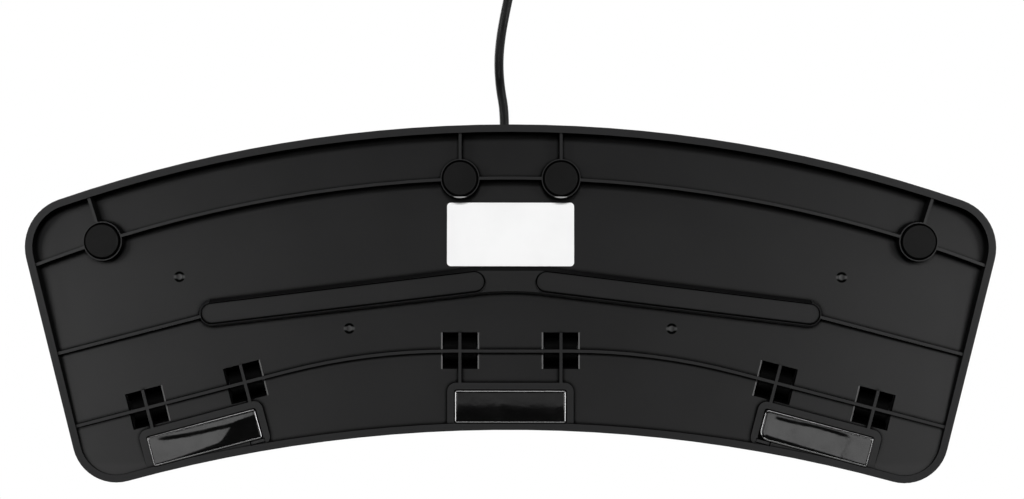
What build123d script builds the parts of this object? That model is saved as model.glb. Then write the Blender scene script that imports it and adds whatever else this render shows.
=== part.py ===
from build123d import *
import os
import numpy
from math import atan2, cos, degrees, hypot, pi, radians, sin, sqrt, tan

os.makedirs("parts", exist_ok=True)

# Lengths are in millimetres and angles in degrees. The object stands on its rubber feet at z = 0,
# its cord leaves to the rear (+Y), and +X is on the right of the person who uses it.

# Outline of the body, seen from above
rear_arc_radius = 472.0
rear_apex_y = 61.0
front_arc_radius = 492.0
front_apex_y = -42.9
side_half_width = 160.9  # where the side walls cross y = 0
side_lean = 14.0  # how far the side walls open to the rear
rear_corner_radius = 17.0
front_corner_radius = 15.0

# Shells of the body
rim_z = 1.2
rim_width = 2.5
floor_depth = 5.8  # from the rim up to the floor panel, where y = 0
floor_tilt = 5.43
floor_thickness = 2.2
deck_front_z = 15.5
deck_tilt = 9.0
deck_thickness = 2.5
deck_edge_radius = 4.0
cover_wall = 2.5
lip_height = 2.0
lip_thickness = 1.2
fit_gap = 0.15  # between moulded pieces that seat in each other
overrun = 1.0  # how far a cut runs past what it cuts

# Places of the pedals: the middle of each hinge pin, and how far the pedal is turned
side_pedal_share = 0.66501  # of side_half_width
side_pedal_inset = 23.476  # from the front edge
middle_pedal_inset = 26.8
side_pedal_turn = 14.6
hinge_lift = 4.0  # from the underside of the floor up to the pin

# Hinges
pin_radius = 1.5
pin_overhang = 1.0
pin_clearance = 0.06
knuckle_radius = 3.5
knuckle_offset = 17.2
knuckle_width = 11.0
window_width = 12.0
window_length = 12.5
window_edge = 0.5
ear_thickness = 2.4
ear_foot_length = 10.0

# Pedals, in their own frame: x along the pin, y to the rear, z up from the pin
pedal_half_width = 39.0
pedal_front = 14.0
pedal_rear = 53.0
pedal_corner = 12.0
pedal_side_draft = 3.0
pedal_rear_draft = 15.0
pedal_top = 15.6  # height of the top plane above the pin
pedal_travel = 4.6
pedal_tilt = deck_tilt + pedal_travel  # a pressed pedal lies parallel to the deck
pedal_edge_radius = 1.6
pedal_wall = 2.3
plate_thickness = 2.3
skirt_depth = 9.2  # how far the skirts reach below the deck
well_gap = 1.1
well_lip_thickness = 1.5
well_lip_depth = 6.4  # from the top of the deck to the lower edge of the lip round a pedal
pedal_rib_thickness = 1.6
pedal_rib_depth = 6.0
pedal_rib_offset = 27.0
stop_gap = 0.3
stop_post_radius = 3.0
stop_post_y = 38.0
catch_width = 7.0
catch_offset = 20.0
catch_reach = 1.9
catch_height = 2.0

# Rubber grips on the pedals
grip_recess = 1.2
grip_thickness = 2.0
grip_margin = 5.0
grip_corner = 7.0
grip_ridge_count = 9
grip_ridge_height = 0.9
grip_ridge_foot = 3.0
grip_ridge_top = 1.7

# Return springs
spring_y = 18.0
spring_radius = 4.2  # to the middle of the wire
spring_wire = 0.9
spring_turns = 5
spring_seat_z = 0.8  # above the pin
spring_seat_radius = 6.0
spring_spigot_radius = 2.8
spring_spigot_height = 2.5
spring_cup_wall = 1.2
spring_cup_gap = 2.2
spring_cup_depth = 2.0
spring_play = 0.2

# Key switches and their boards
board_thickness = 1.6
board_lift = 1.2
board_width = 32.0
board_length = 19.0
board_middle_y = 38.0
board_peg_radius = 2.2
board_peg_inset = 2.8
switch_y = 40.0
switch_side = 14.0
switch_base_height = 5.0
switch_flange = 15.6
switch_flange_height = 1.0
switch_cover_height = 5.6
switch_cover_top_width = 11.4
switch_cover_top_length = 10.2
switch_cavity_width = 9.0
switch_cavity_length = 7.6
switch_wall = 1.2
stem_width = 6.8
stem_length = 5.2
stem_clearance = 0.3
stem_rise = 3.6
stem_depth = 2.0
stem_cross = 4.0
stem_cross_bar = 1.3
actuator_radius = 3.0
actuator_width = 8.0
actuator_lead = 1.0  # the actuator starts this far in front of the stem's middle
actuator_gap = 0.3

# Controller board between the middle and the right pedal
controller_share = 0.3791  # of side_half_width
controller_y = 27.0
controller_width = 25.0
controller_length = 34.0
chip_x = 1.5
chip_y = 1.0
chip_side = 7.0
chip_height = 1.2
crystal_x = 3.5
crystal_y = 11.0
crystal_length = 11.0
crystal_width = 4.6
crystal_height = 3.4
connector_width = 7.4
connector_length = 5.8
connector_height = 5.0
connector_wall = 0.8
connector_spots = [(-8.2, 10.4), (-8.2, -6.0), (-1.0, -12.0), (8.2, -6.0)]

# Ribs under the floor
rib_width = 1.0
rib_step = 0.5  # the ribs end this far above the rim
rear_rib_inset = 18.2
stadium_inner_x = 12.4
stadium_inner_y = 7.4
stadium_outer_share = 0.6327  # of side_half_width
stadium_outer_y = -3.5
stadium_width = 7.6  # where it ends
stadium_draft = 10.0
stadium_wall = 1.3
stadium_ring = 0.2
stadium_ring_depth = 0.35
stadium_groove = 0.2
stadium_groove_depth = 0.9
bridge_rise = 0.75
hinge_bend_radius = 225.0
cross_rib_front = 12.2
dimple_radius = 1.5
dimple_depth = 0.5
dimple_nub_radius = 0.5
dimple_outer_share = 0.7017  # of side_half_width
dimple_outer_y = 9.0
dimple_inner_share = 0.3412
dimple_inner_y = -8.6

# Round feet and the screws above them
inner_foot_share = 0.1069  # of side_half_width
inner_foot_inset = 18.09  # from the rear edge
outer_foot_share = 0.8633
outer_foot_inset = 18.9
foot_radius = 5.8
foot_thickness = 3.2
foot_edge = 0.5
foot_cup_gap = 0.35
foot_boss_radius = 6.65
screw_radius = 1.5
screw_head_radius = 2.8
screw_head_height = 2.0
screw_drive_radius = 1.0
screw_drive_depth = 1.1
screw_hole_gap = 0.2
screw_seat_thickness = 3.0
screw_bite = 8.0
cover_post_radius = 3.6

# Rubber pads along the front edge
middle_pad_inset = 7.9  # from the front edge
middle_pad_width = 38.2
middle_pad_length = 11.4
side_pad_share = 0.64636  # of side_half_width
side_pad_inset = 8.42
side_pad_width = 38.4
side_pad_length = 10.6
pad_turn = 14.9
pad_corner = 0.8
pad_thickness = 2.0
pad_edge = 0.35
pad_frame = 2.4
pad_frame_corner = 3.0

# Snap hooks of the cover in slots of the base
hook_share = 0.5345  # of side_half_width
hook_inset = 3.47  # from the front edge
slot_width = 5.2
slot_length = 1.7
hook_width = 4.6
hook_thickness = 0.9
hook_short = 0.8  # the hook ends this far above the rim

# Blank label
label_width = 43.6
label_length = 21.9
label_corner = 1.3
label_thickness = 0.2
label_y = 23.4

# Cord, its grommet and its clamp
cord_radius = 1.6
arc_share = 0.45  # of the shorter run beside a corner, taken up by its arc
cord_exit_x = 2.2
cord_axis_z = 16.5
grommet_radius = 3.2
grommet_flange = 1.0
grommet_flange_thickness = 1.2
cord_strip_y = 50.6  # where the jacket ends inside the body
clamp_y = 53.2
clamp_half_width = 8.0
clamp_length = 4.4
clamp_thickness = 1.6
clamp_screw_offset = 5.4
small_screw_radius = 1.0
small_head_radius = 1.8
small_head_height = 1.2
small_screw_length = 5.0
screw_skin = 0.3  # floor left below the tip of a board screw

# Wires inside: the cord's cores, and a flat lead to each switch board
core_radius = 1.0
core_route = [
    (2.2, 50.6, 16.5),
    (2.2, 47.8, 16.5),
    (22.0, 47.8, 16.8),
    (40.0, 46.6, 17.3),
    (51.0, 44.6, 17.9),
    (53.0, 40.9, 18.2),
]
lead_width = 1.6
lead_thickness = 0.8
lead_bend = 5.0
lead_shares = {  # x of side_half_width, y of rear_apex_y
    "left": [(0.3045, 0.1967), (0.2486, 0.1672), (-0.2735, 0.1672), (-0.4475, 0.082), (-0.6308, 0.1574)],
    "middle": [(0.3045, 0.2787), (0.0963, 0.2623)],
    "right": [(0.4537, 0.1967), (0.5221, 0.1066), (0.6234, 0.0754)],
}

# Route of the cord from the rear wall to the coil
cord_route = [
    (2.2, 61.0, 16.5),
    (2.2, 66.6, 16.5),
    (3.6, 74.0, 14.9),
    (4.2, 82.0, 9.6),
    (3.6, 89.5, 4.3),
    (2.3, 97.0, 1.62),
    (0.5, 105.5, 1.62),
    (-1.7, 115.5, 1.62),
    (-3.9, 125.5, 2.0),
    (-6.1, 135.0, 2.4),
    (-8.2, 144.0, 2.4),
]
coil_radius = 25.7  # of the outermost turn
coil_step = 3.7  # from one turn to the next, and from one layer to the next
coil_half_turns = (7, 7, 5, 5)  # in each layer, inwards and outwards by turns
coil_swing = 0.8  # how far a turn swings aside where it climbs to the next layer
tail_slope = 5.6  # length of the tail over its drop to the table
tail_run_shares = (0, 0.2, 0.52, 0.82, 1)
tail_drop_shares = (0, 0, 0.5, 1, 1)

# Tie round the coil
tie_thickness = 0.5
tie_width = 6.0
tie_gap = 0.25
tie_corner = 2.5

# Plug
plug_body_width = 15.6
plug_body_height = 8.0
plug_body_length = 26.0
plug_body_corner = 2.0
plug_body_edge = 1.0
plug_relief_length = 9.0
plug_relief_radius = 2.6
plug_relief_root = 3.4
plug_shell_width = 12.0
plug_shell_height = 4.5
plug_shell_length = 18.8
plug_shell_wall = 0.3
plug_shell_corner = 0.5
plug_latch_side = 2.2
plug_latch_offset = 2.9
plug_latch_from_tip = 6.2
plug_insert_thickness = 1.9
plug_insert_short = 0.6
plug_contact_width = 1.1
plug_contact_length = 7.4
plug_contact_thickness = 0.2
plug_contact_pitch = 2.25
plug_contact_count = 4

# Values that follow from the ones above
reach = 4 * side_half_width
rib_end_z = rim_z + rib_step
panel_z = rib_end_z + stadium_ring_depth
cord_diameter = 2 * cord_radius


def climb(distance, tilt):
    return distance * tan(radians(tilt))


def front_edge_y(x):
    return front_apex_y - front_arc_radius + sqrt(front_arc_radius**2 - x**2)


def rear_edge_y(x):
    return rear_apex_y - rear_arc_radius + sqrt(rear_arc_radius**2 - x**2)


def floor_under_z(y):
    return rim_z + floor_depth + climb(y, floor_tilt)


def floor_top_z(y):
    return floor_under_z(y) + floor_thickness


def deck_z(y):
    return deck_front_z + climb(y - front_apex_y, deck_tilt)


def hinge_z(y):
    return floor_under_z(y) + hinge_lift


def slope(height, tilt):
    """Plane that holds the x direction and rises to the rear, at height where y is zero."""
    rise = radians(tilt)
    return Plane(origin=(0, 0, height), x_dir=(1, 0, 0), z_dir=(0, -sin(rise), cos(rise)))


def under(height, tilt):
    return extrude(slope(height, tilt) * Rectangle(reach, reach), amount=-reach)


def over(height, tilt):
    return extrude(slope(height, tilt) * Rectangle(reach, reach), amount=reach)


def bar(start, end, width):
    """Flat bar from one point to another."""
    length = hypot(end[0] - start[0], end[1] - start[1])
    turn = degrees(atan2(end[1] - start[1], end[0] - start[0]))
    middle = Pos((start[0] + end[0]) / 2, (start[1] + end[1]) / 2)
    return middle * Rot(0, 0, turn) * Rectangle(length, width)


def rod(radius, length):
    """Upright cylinder that starts at the origin."""
    return extrude(Circle(radius), amount=length)


def both_sides(shape):
    return shape + mirror(shape, about=Plane.YZ)


def save(name, shape):
    export_step(shape, f"parts/{name}.step")


# Places that follow from the outline

side_pedal_x = side_pedal_share * side_half_width
side_pedal_y = front_edge_y(side_pedal_x) + side_pedal_inset
middle_pedal_y = front_edge_y(0) + middle_pedal_inset
controller_x = controller_share * side_half_width
stadium_outer_x = stadium_outer_share * side_half_width
dimple_outer_x = dimple_outer_share * side_half_width
dimple_inner_x = dimple_inner_share * side_half_width
inner_foot_x = inner_foot_share * side_half_width
inner_foot_y = rear_edge_y(inner_foot_x) - inner_foot_inset
outer_foot_x = outer_foot_share * side_half_width
outer_foot_y = rear_edge_y(outer_foot_x) - outer_foot_inset
middle_pad_y = front_edge_y(0) + middle_pad_inset
side_pad_x = side_pad_share * side_half_width
side_pad_y = front_edge_y(side_pad_x) + side_pad_inset
hook_x = hook_share * side_half_width
hook_y = front_edge_y(hook_x) + hook_inset

# Frames

stations = {
    "left": (-side_pedal_x, side_pedal_y, side_pedal_turn),
    "middle": (0, middle_pedal_y, 0),
    "right": (side_pedal_x, side_pedal_y, -side_pedal_turn),
}


def plan(name):
    """Frame of a pedal in plan, at z = 0."""
    x, y, turn = stations[name]
    return Pos(x, y, 0) * Rot(0, 0, turn)


def hinge(name):
    """Frame of a pedal, at the middle of its pin."""
    return Pos(0, 0, hinge_z(stations[name][1])) * plan(name)


def in_plan(name, x, y):
    spot = plan(name) * Pos(x, y, 0)
    return spot.position.X, spot.position.Y


def floor_frame(x, y, turn=0, depth=0):
    """Frame on the inside of the floor or below it, square to it."""
    rise = radians(floor_tilt)
    up = Vector(0, -sin(rise), cos(rise))
    across = Vector(cos(radians(turn)), sin(radians(turn)), 0)
    across = across - up * across.dot(up)
    return Plane(origin=(x, y, floor_top_z(y) - depth), x_dir=across, z_dir=up)


def switch_frame(name, x, y):
    return floor_frame(*in_plan(name, x, y), stations[name][2])


# Outlines of the body


def outline(inset=0):
    """Crescent with straight sides, moved inwards by inset."""
    rear = Pos(0, rear_apex_y - rear_arc_radius) * Circle(rear_arc_radius - inset)
    front = Pos(0, front_apex_y - front_arc_radius) * Circle(front_arc_radius + inset)
    half = side_half_width - inset / cos(radians(side_lean))
    far = side_half_width
    spread = climb(far, side_lean)
    corners = [(half + spread, far), (-half - spread, far), (-half + spread, -far), (half - spread, -far)]
    face = (rear - front) & make_face(Polyline(*corners, close=True))
    face = fillet(face.vertices().sort_by(Axis.Y)[-2:], rear_corner_radius - inset)
    return fillet(face.vertices().sort_by(Axis.Y)[:2], front_corner_radius - inset)


def hinge_line():
    """Centre line through all six windows, out to the side walls."""
    slant = side_pedal_turn
    bend_x = side_pedal_x - (middle_pedal_y - side_pedal_y) / tan(radians(slant))
    end_y = side_pedal_y - climb(side_half_width - side_pedal_x, slant)
    points = [(-side_half_width, end_y), (-bend_x, middle_pedal_y), (bend_x, middle_pedal_y)]
    return FilletPolyline(*points, (side_half_width, end_y), radius=hinge_bend_radius)


def stadium(width):
    """Long plateau under the right half of the floor."""
    length = hypot(stadium_outer_x - stadium_inner_x, stadium_outer_y - stadium_inner_y)
    turn = degrees(atan2(stadium_outer_y - stadium_inner_y, stadium_outer_x - stadium_inner_x))
    middle = Pos((stadium_inner_x + stadium_outer_x) / 2, (stadium_inner_y + stadium_outer_y) / 2)
    return middle * Rot(0, 0, turn) * SlotOverall(length + width, width)


def pad_places():
    return {
        "middle": (Pos(0, middle_pad_y), middle_pad_width, middle_pad_length),
        "right": (Pos(side_pad_x, side_pad_y) * Rot(0, 0, -pad_turn), side_pad_width, side_pad_length),
        "left": (Pos(-side_pad_x, side_pad_y) * Rot(0, 0, pad_turn), side_pad_width, side_pad_length),
    }


foot_places = {
    "inner_left": (-inner_foot_x, inner_foot_y),
    "inner_right": (inner_foot_x, inner_foot_y),
    "outer_left": (-outer_foot_x, outer_foot_y),
    "outer_right": (outer_foot_x, outer_foot_y),
}


# Base plate


def rib_plan():
    """Ribs under the floor, in plan."""
    rear_centre = rear_apex_y - rear_arc_radius
    ring_radius = rear_arc_radius - rear_rib_inset
    ring = Circle(ring_radius + rib_width / 2) - Circle(ring_radius - rib_width / 2)
    ribs = Pos(0, rear_centre) * ring
    ribs += trace(hinge_line(), line_width=rib_width)
    ribs += both_sides(bar((inner_foot_x, inner_foot_y), (inner_foot_x, rear_apex_y), rib_width))
    out = (rear_arc_radius - rim_width) / hypot(outer_foot_x, outer_foot_y - rear_centre)
    wall_spot = (outer_foot_x * out, rear_centre + (outer_foot_y - rear_centre) * out)
    ribs += both_sides(bar((outer_foot_x, outer_foot_y), wall_spot, rib_width))
    far_y = stadium_outer_y - climb(side_half_width - stadium_outer_x, side_pedal_turn)
    ribs += both_sides(bar((stadium_outer_x, stadium_outer_y), (side_half_width, far_y), rib_width))
    for name in stations:
        for x in (-knuckle_offset, knuckle_offset):
            cross = bar((x, window_length / 2), (x, -cross_rib_front), rib_width)
            ribs += plan(name) * cross
    return ribs & outline(rim_width / 2)


def window(name, height, below):
    """Cutters for the two windows of a pedal, in its own frame."""
    cutters = []
    for x in (-knuckle_offset, knuckle_offset):
        plate = Pos(x, 0, -below) * Rectangle(window_width, window_length)
        cutters.append(hinge(name) * extrude(plate, amount=height))
    return cutters


def window_edges(name):
    """Cutters that widen the two windows of a pedal under the floor."""
    cutters = []
    for x in (-knuckle_offset, knuckle_offset):
        spot = floor_frame(*in_plan(name, x, 0), stations[name][2], floor_thickness)
        wide = Rectangle(window_width + 2 * window_edge, window_length)
        narrow = Rectangle(window_width, window_length)
        cutters.append(loft([spot * wide, spot.offset(window_edge) * narrow], ruled=True))
    return cutters


def bridge(grow):
    """Plateau between the two long ones, in plan."""
    front = stadium_inner_y - stadium_width / 2 - grow
    rear = stadium_inner_y + stadium_width / 2 + grow
    half = stadium_inner_x
    edge = ThreePointArc((-half, front), (0, front + bridge_rise), (half, front))
    return make_face([edge, Polyline((half, front), (half, rear), (-half, rear), (-half, front))])


def plateaus():
    """Long plateaus under the floor with their sides drafted, and the bridge between them."""
    height = floor_under_z(stadium_inner_y) + floor_thickness / 2
    spread = climb(height - rib_end_z, stadium_draft)
    long_one = loft(
        [Pos(0, 0, rib_end_z) * stadium(stadium_width), Pos(0, 0, height) * stadium(stadium_width + 2 * spread)],
        ruled=True,
    )
    short_one = loft([Pos(0, 0, panel_z) * bridge(0), Pos(0, 0, height) * bridge(spread)], ruled=True)
    return both_sides(long_one) + short_one


def plateau_cut():
    """What is cut from the right plateau: its panel steps back from a ring, with a groove beside it."""
    inner = stadium(stadium_width - 2 * stadium_ring)
    inset = stadium_ring + stadium_groove
    panel = Pos(-stadium_ring / 2, inset) * stadium(stadium_width - 2 * inset)
    step = Pos(-stadium_ring, stadium_ring) * inner
    groove = extrude(step - panel, amount=rib_end_z + stadium_groove_depth)
    return extrude(step, amount=panel_z) + groove


def foot_boss(x, y):
    """Boss above a round foot, with its screw seat; first what is added, then what is cut."""
    boss = Pos(x, y, rib_end_z) * rod(foot_boss_radius, floor_under_z(y) + floor_thickness / 2 - rib_end_z)
    seat_z = floor_top_z(y) - screw_seat_thickness
    cup = Pos(x, y, 0) * rod(foot_radius + foot_cup_gap, foot_thickness)
    bore = Pos(x, y, 0) * rod(screw_head_radius + 2 * screw_hole_gap, seat_z)
    hole = Pos(x, y, 0) * rod(screw_radius + screw_hole_gap, floor_top_z(y) + overrun)
    return boss, cup + bore + hole


def ear(x):
    """Plate that holds the pin, beside a window, in a pedal's own frame."""
    head = Circle(knuckle_radius)
    half = ear_foot_length / 2
    foot = Polygon(
        (-knuckle_radius, 0), (-half, -hinge_lift), (half, -hinge_lift), (knuckle_radius, 0), align=None
    )
    return extrude(Plane.YZ.offset(x) * (head + foot), amount=ear_thickness)


def ears():
    near = knuckle_offset - window_width / 2 - ear_thickness
    far = knuckle_offset + window_width / 2
    return [ear(x) for x in (near, far, -near - ear_thickness, -far - ear_thickness)]


def pressed_height(y, z):
    """Height above the pin that a point of the pedal comes down to when it is pressed."""
    turn = radians(pedal_travel)
    return z * cos(turn) - y * sin(turn)


def plate_under(y):
    """Height above the pin of the underside of a pedal's plate."""
    drop = (grip_recess + plate_thickness) / cos(radians(pedal_tilt))
    return pedal_top + climb(y, pedal_tilt) - drop


def stop_post_top():
    rib_edge = plate_under(stop_post_y - stop_post_radius) - pedal_rib_depth
    return pressed_height(stop_post_y + stop_post_radius, rib_edge) - stop_gap


def board_pegs(width, length):
    x = width / 2 - board_peg_inset
    y = length / 2 - board_peg_inset
    return [(x, y), (-x, y), (-x, -y), (x, -y)]


def board_frames():
    frames = {}
    for name in stations:
        frames[name] = (switch_frame(name, 0, board_middle_y), board_width, board_length)
    frames["controller"] = (floor_frame(controller_x, controller_y), controller_width, controller_length)
    return frames


def cord_notch(radius, y, depth):
    """Round rod along the cord's axis, from y forwards."""
    start = Plane.XZ.offset(-y)
    return extrude(start * Pos(cord_exit_x, cord_axis_z) * Circle(radius), amount=depth)


def base_plate():
    full = Pos(0, 0, rim_z) * extrude(outline(), amount=reach)
    plate = full & under(floor_top_z(0), floor_tilt)
    recess = Pos(0, 0, rim_z - overrun) * extrude(outline(rim_width), amount=reach)
    plate -= recess & under(floor_under_z(0), floor_tilt)

    for name in stations:
        for cutter in window(name, 2 * hinge_lift, hinge_lift + overrun) + window_edges(name):
            plate -= cutter

    ribs = Pos(0, 0, rib_end_z) * extrude(rib_plan(), amount=reach)
    ribs &= under(floor_under_z(0) + floor_thickness / 2, floor_tilt)
    for name in stations:
        for cutter in window(name, hinge_lift, hinge_lift):
            ribs -= cutter
    plate += ribs

    for place, width, length in pad_places().values():
        frame = RectangleRounded(width + 2 * pad_frame, length + 2 * pad_frame, pad_frame_corner)
        block = Pos(0, 0, rib_end_z) * extrude(place * frame & outline(rim_width / 2), amount=reach)
        plate += block & under(floor_under_z(0) + floor_thickness / 2, floor_tilt)

    plate += plateaus() & under(floor_under_z(0) + floor_thickness / 2, floor_tilt)
    plate -= both_sides(plateau_cut())
    trough = stadium(stadium_width - 2 * stadium_wall)
    plate -= both_sides(Pos(0, 0, panel_z + stadium_wall) * extrude(trough, amount=reach))

    for place, width, length in pad_places().values():
        recess = RectangleRounded(width + 2 * fit_gap, length + 2 * fit_gap, pad_corner + fit_gap)
        plate -= place * extrude(recess, amount=pad_thickness)

    for x, y in foot_places.values():
        boss, cut = foot_boss(x, y)
        plate = plate + boss - cut

    plate += base_lip()
    slot = Rot(0, 0, -side_pedal_turn) * Rectangle(slot_width, slot_length)
    plate -= both_sides(Pos(hook_x, hook_y) * extrude(slot, amount=floor_top_z(0) + lip_height))

    for x, y in ((dimple_outer_x, dimple_outer_y), (dimple_inner_x, dimple_inner_y)):
        mark = Circle(dimple_radius) - Circle(dimple_nub_radius)
        dimple = Pos(x, y, 0) * extrude(mark, amount=floor_under_z(y) + dimple_depth)
        plate -= both_sides(dimple)

    for name in stations:
        for piece in pedal_supports():
            plate += hinge(name) * piece & over(floor_top_z(0) - floor_thickness / 2, floor_tilt)
        pin_hole = Plane.YZ.offset(-pin_length() / 2) * Circle(pin_radius)
        plate -= hinge(name) * extrude(pin_hole, amount=pin_length())

    for frame, width, length in board_frames().values():
        for x, y in board_pegs(width, length):
            plate += frame * Pos(x, y, 0) * rod(board_peg_radius, board_lift)
        for x, y in board_pegs(width, length)[::2]:
            hole = Pos(x, y, board_lift - small_screw_length) * rod(small_screw_radius, small_screw_length)
            plate -= frame * hole & over(floor_under_z(0) + screw_skin, floor_tilt)

    saddle = Pos(cord_exit_x, clamp_y, 0) * Box(2 * clamp_half_width, clamp_length, 2 * cord_axis_z)
    plate += saddle & over(floor_top_z(0) - floor_thickness / 2, floor_tilt)
    plate -= cord_notch(cord_radius, rear_apex_y, rear_apex_y - cord_strip_y + overrun)
    for x in (-clamp_screw_offset, clamp_screw_offset):
        depth = small_screw_length - clamp_thickness
        hole = rod(small_screw_radius, depth)
        plate -= Pos(cord_exit_x + x, clamp_y, cord_axis_z - depth) * hole
    return plate - wall_notch()


def base_lip():
    """Tongue on the base, inside the cover's wall."""
    outer = cover_wall + fit_gap
    ring = outline(outer) - outline(outer + lip_thickness)
    tongue = Pos(0, 0, rim_z) * extrude(ring, amount=reach)
    tongue &= under(floor_top_z(0) + lip_height, floor_tilt)
    return tongue & over(floor_top_z(0) - floor_thickness / 2, floor_tilt)


def pedal_supports():
    """What stands on the floor under one pedal, in the pedal's own frame."""
    seat = Pos(0, spring_y, -hinge_lift) * rod(spring_seat_radius, hinge_lift + spring_seat_z)
    spigot = Pos(0, spring_y, spring_seat_z) * rod(spring_spigot_radius, spring_spigot_height)
    pieces = ears() + [seat + spigot]
    for x in (-pedal_rib_offset, pedal_rib_offset):
        post = rod(stop_post_radius, stop_post_top() + hinge_lift)
        pieces.append(Pos(x, stop_post_y, -hinge_lift) * post)
    return pieces


def wall_notch():
    """Passage for the grommet, through both walls at the rear."""
    inner = rear_apex_y - cover_wall - lip_thickness - 2 * fit_gap - overrun
    return cord_notch(grommet_radius, rear_apex_y + overrun, rear_apex_y + overrun - inner)


# Top cover


def pedal_section(z, grow):
    """Outline of a pedal at one height above its pin, with its sides moved out by grow."""
    narrow = climb(z, pedal_side_draft)
    half = pedal_half_width - narrow + grow
    front = narrow - pedal_front - grow
    rear = pedal_rear - climb(z, pedal_rear_draft) + grow
    shape = RectangleRounded(2 * half, rear - front, pedal_corner + grow)
    return Pos(0, (front + rear) / 2, z) * shape


def pedal_block(grow):
    lowest = -hinge_lift
    highest = plate_under(pedal_rear) + 2 * hinge_lift
    return loft([pedal_section(lowest, grow), pedal_section(highest, grow)], ruled=True)


def deck_over_hinge():
    return deck_z(middle_pedal_y) - hinge_z(middle_pedal_y)


def top_cover():
    body = Pos(0, 0, rim_z) * extrude(outline(), amount=reach)
    body &= under(deck_z(0), deck_tilt)
    body &= over(floor_top_z(0), floor_tilt)
    top = body.faces().sort_by(Axis.Z)[-1]
    body = fillet(top.edges(), deck_edge_radius)
    inside = Pos(0, 0, rim_z) * extrude(outline(cover_wall), amount=reach)
    cover = body - (inside & under(deck_z(0) - deck_thickness, deck_tilt))

    lip_z = deck_over_hinge() - well_lip_depth
    for name in stations:
        sleeve = hinge(name) * (pedal_block(well_gap + well_lip_thickness) & over(lip_z, deck_tilt))
        cover += sleeve & under(deck_z(0) - deck_thickness / 2, deck_tilt)
    for x, y in foot_places.values():
        post = Pos(x, y, rim_z) * rod(cover_post_radius, deck_z(y) - rim_z)
        post &= over(floor_top_z(0), floor_tilt)
        cover += post & under(deck_z(0) - deck_thickness / 2, deck_tilt)
    for name in stations:
        cover -= hinge(name) * pedal_block(well_gap)
    for x, y in foot_places.values():
        cover -= Pos(x, y, 0) * rod(screw_radius, floor_top_z(y) + screw_bite)

    hook = Rot(0, 0, -side_pedal_turn) * Rectangle(hook_width, hook_thickness)
    hook_z = rib_end_z + hook_short
    blade = Pos(hook_x, hook_y, hook_z) * extrude(hook, amount=deck_z(hook_y) - deck_thickness / 2 - hook_z)
    cover += both_sides(blade)
    return cover - wall_notch()


# Pedals


def pedal():
    body = pedal_block(0) & under(pedal_top, pedal_tilt)
    body &= over(deck_over_hinge() - skirt_depth, deck_tilt)
    top = body.faces().sort_by(Axis.Z)[-1]
    body = fillet(top.edges(), pedal_edge_radius)
    hollow = pedal_block(-pedal_wall) & under(plate_under(0), pedal_tilt)
    shell = body - hollow
    inside = pedal_block(-pedal_wall / 2) & under(plate_under(0) + plate_thickness / 2, pedal_tilt)

    web_top = plate_under(0)
    web_half = 2 * knuckle_radius
    for x in (-knuckle_offset, knuckle_offset):
        web = Polygon(
            (-knuckle_radius, 0), (knuckle_radius, 0), (web_half, 2 * web_top), (-web_half, 2 * web_top), align=None
        )
        profile = Plane.YZ.offset(x - knuckle_width / 2) * (web + Circle(knuckle_radius))
        shell += extrude(profile, amount=knuckle_width) & inside
        shell += Pos(x, 0, 0) * knuckle()
    for x in (-pedal_rib_offset, pedal_rib_offset):
        rib = Pos(x, 0, 0) * Box(pedal_rib_thickness, reach, reach)
        shell += rib & inside & over(plate_under(0) - pedal_rib_depth, pedal_tilt)
    shell += actuator() & inside
    shell += spring_cup() & inside
    for x in (-catch_offset, catch_offset):
        shell += Pos(x, 0, 0) * catch()

    shell -= grip_recess_cut()
    bore = Plane.YZ.offset(-pedal_half_width) * Circle(pin_radius + pin_clearance)
    return shell - extrude(bore, amount=2 * pedal_half_width)


def knuckle():
    profile = Plane.YZ.offset(-knuckle_width / 2) * Circle(knuckle_radius)
    return extrude(profile, amount=knuckle_width)


def stem_top():
    """Top of the middle switch's stem, in its pedal's own frame."""
    frame = switch_frame("middle", 0, switch_y)
    height = board_lift + board_thickness + switch_base_height + switch_flange_height
    height += switch_cover_height + stem_rise
    spot = frame.origin + frame.z_dir * height
    return spot.Y - middle_pedal_y, spot.Z - hinge_z(middle_pedal_y)


def actuator():
    """Rounded nose that presses the switch."""
    y, z = stem_top()
    y -= actuator_lead
    z += actuator_gap + actuator_radius
    nose = Pos(y, z) * Circle(actuator_radius)
    neck = Pos(y, z + reach / 2) * Rectangle(2 * actuator_radius, reach)
    return extrude(Plane.YZ.offset(-actuator_width / 2) * (nose + neck), amount=actuator_width)


def spring_cup_z():
    """Height above the pin of the pedal's spring seat."""
    return plate_under(spring_y - spring_radius - spring_cup_gap) - spring_cup_wall


def spring_cup():
    outer = spring_radius + spring_wire / 2 + spring_cup_gap
    boss = rod(outer + spring_cup_wall, reach) - rod(outer, spring_cup_depth)
    return Pos(0, spring_y, spring_cup_z() - spring_cup_depth) * boss


def catch():
    """Tab on the rear skirt that stops the pedal under the cover's lip."""
    foot_z = deck_over_hinge() - skirt_depth
    rear = pedal_rear - climb(foot_z + climb(pedal_rear, deck_tilt), pedal_rear_draft)
    length = pedal_wall + catch_reach
    block = Pos(0, rear - pedal_wall / 2 + catch_reach / 2, 0) * Box(catch_width, length, reach)
    return block & over(foot_z, deck_tilt) & under(foot_z + catch_height, deck_tilt)


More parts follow.
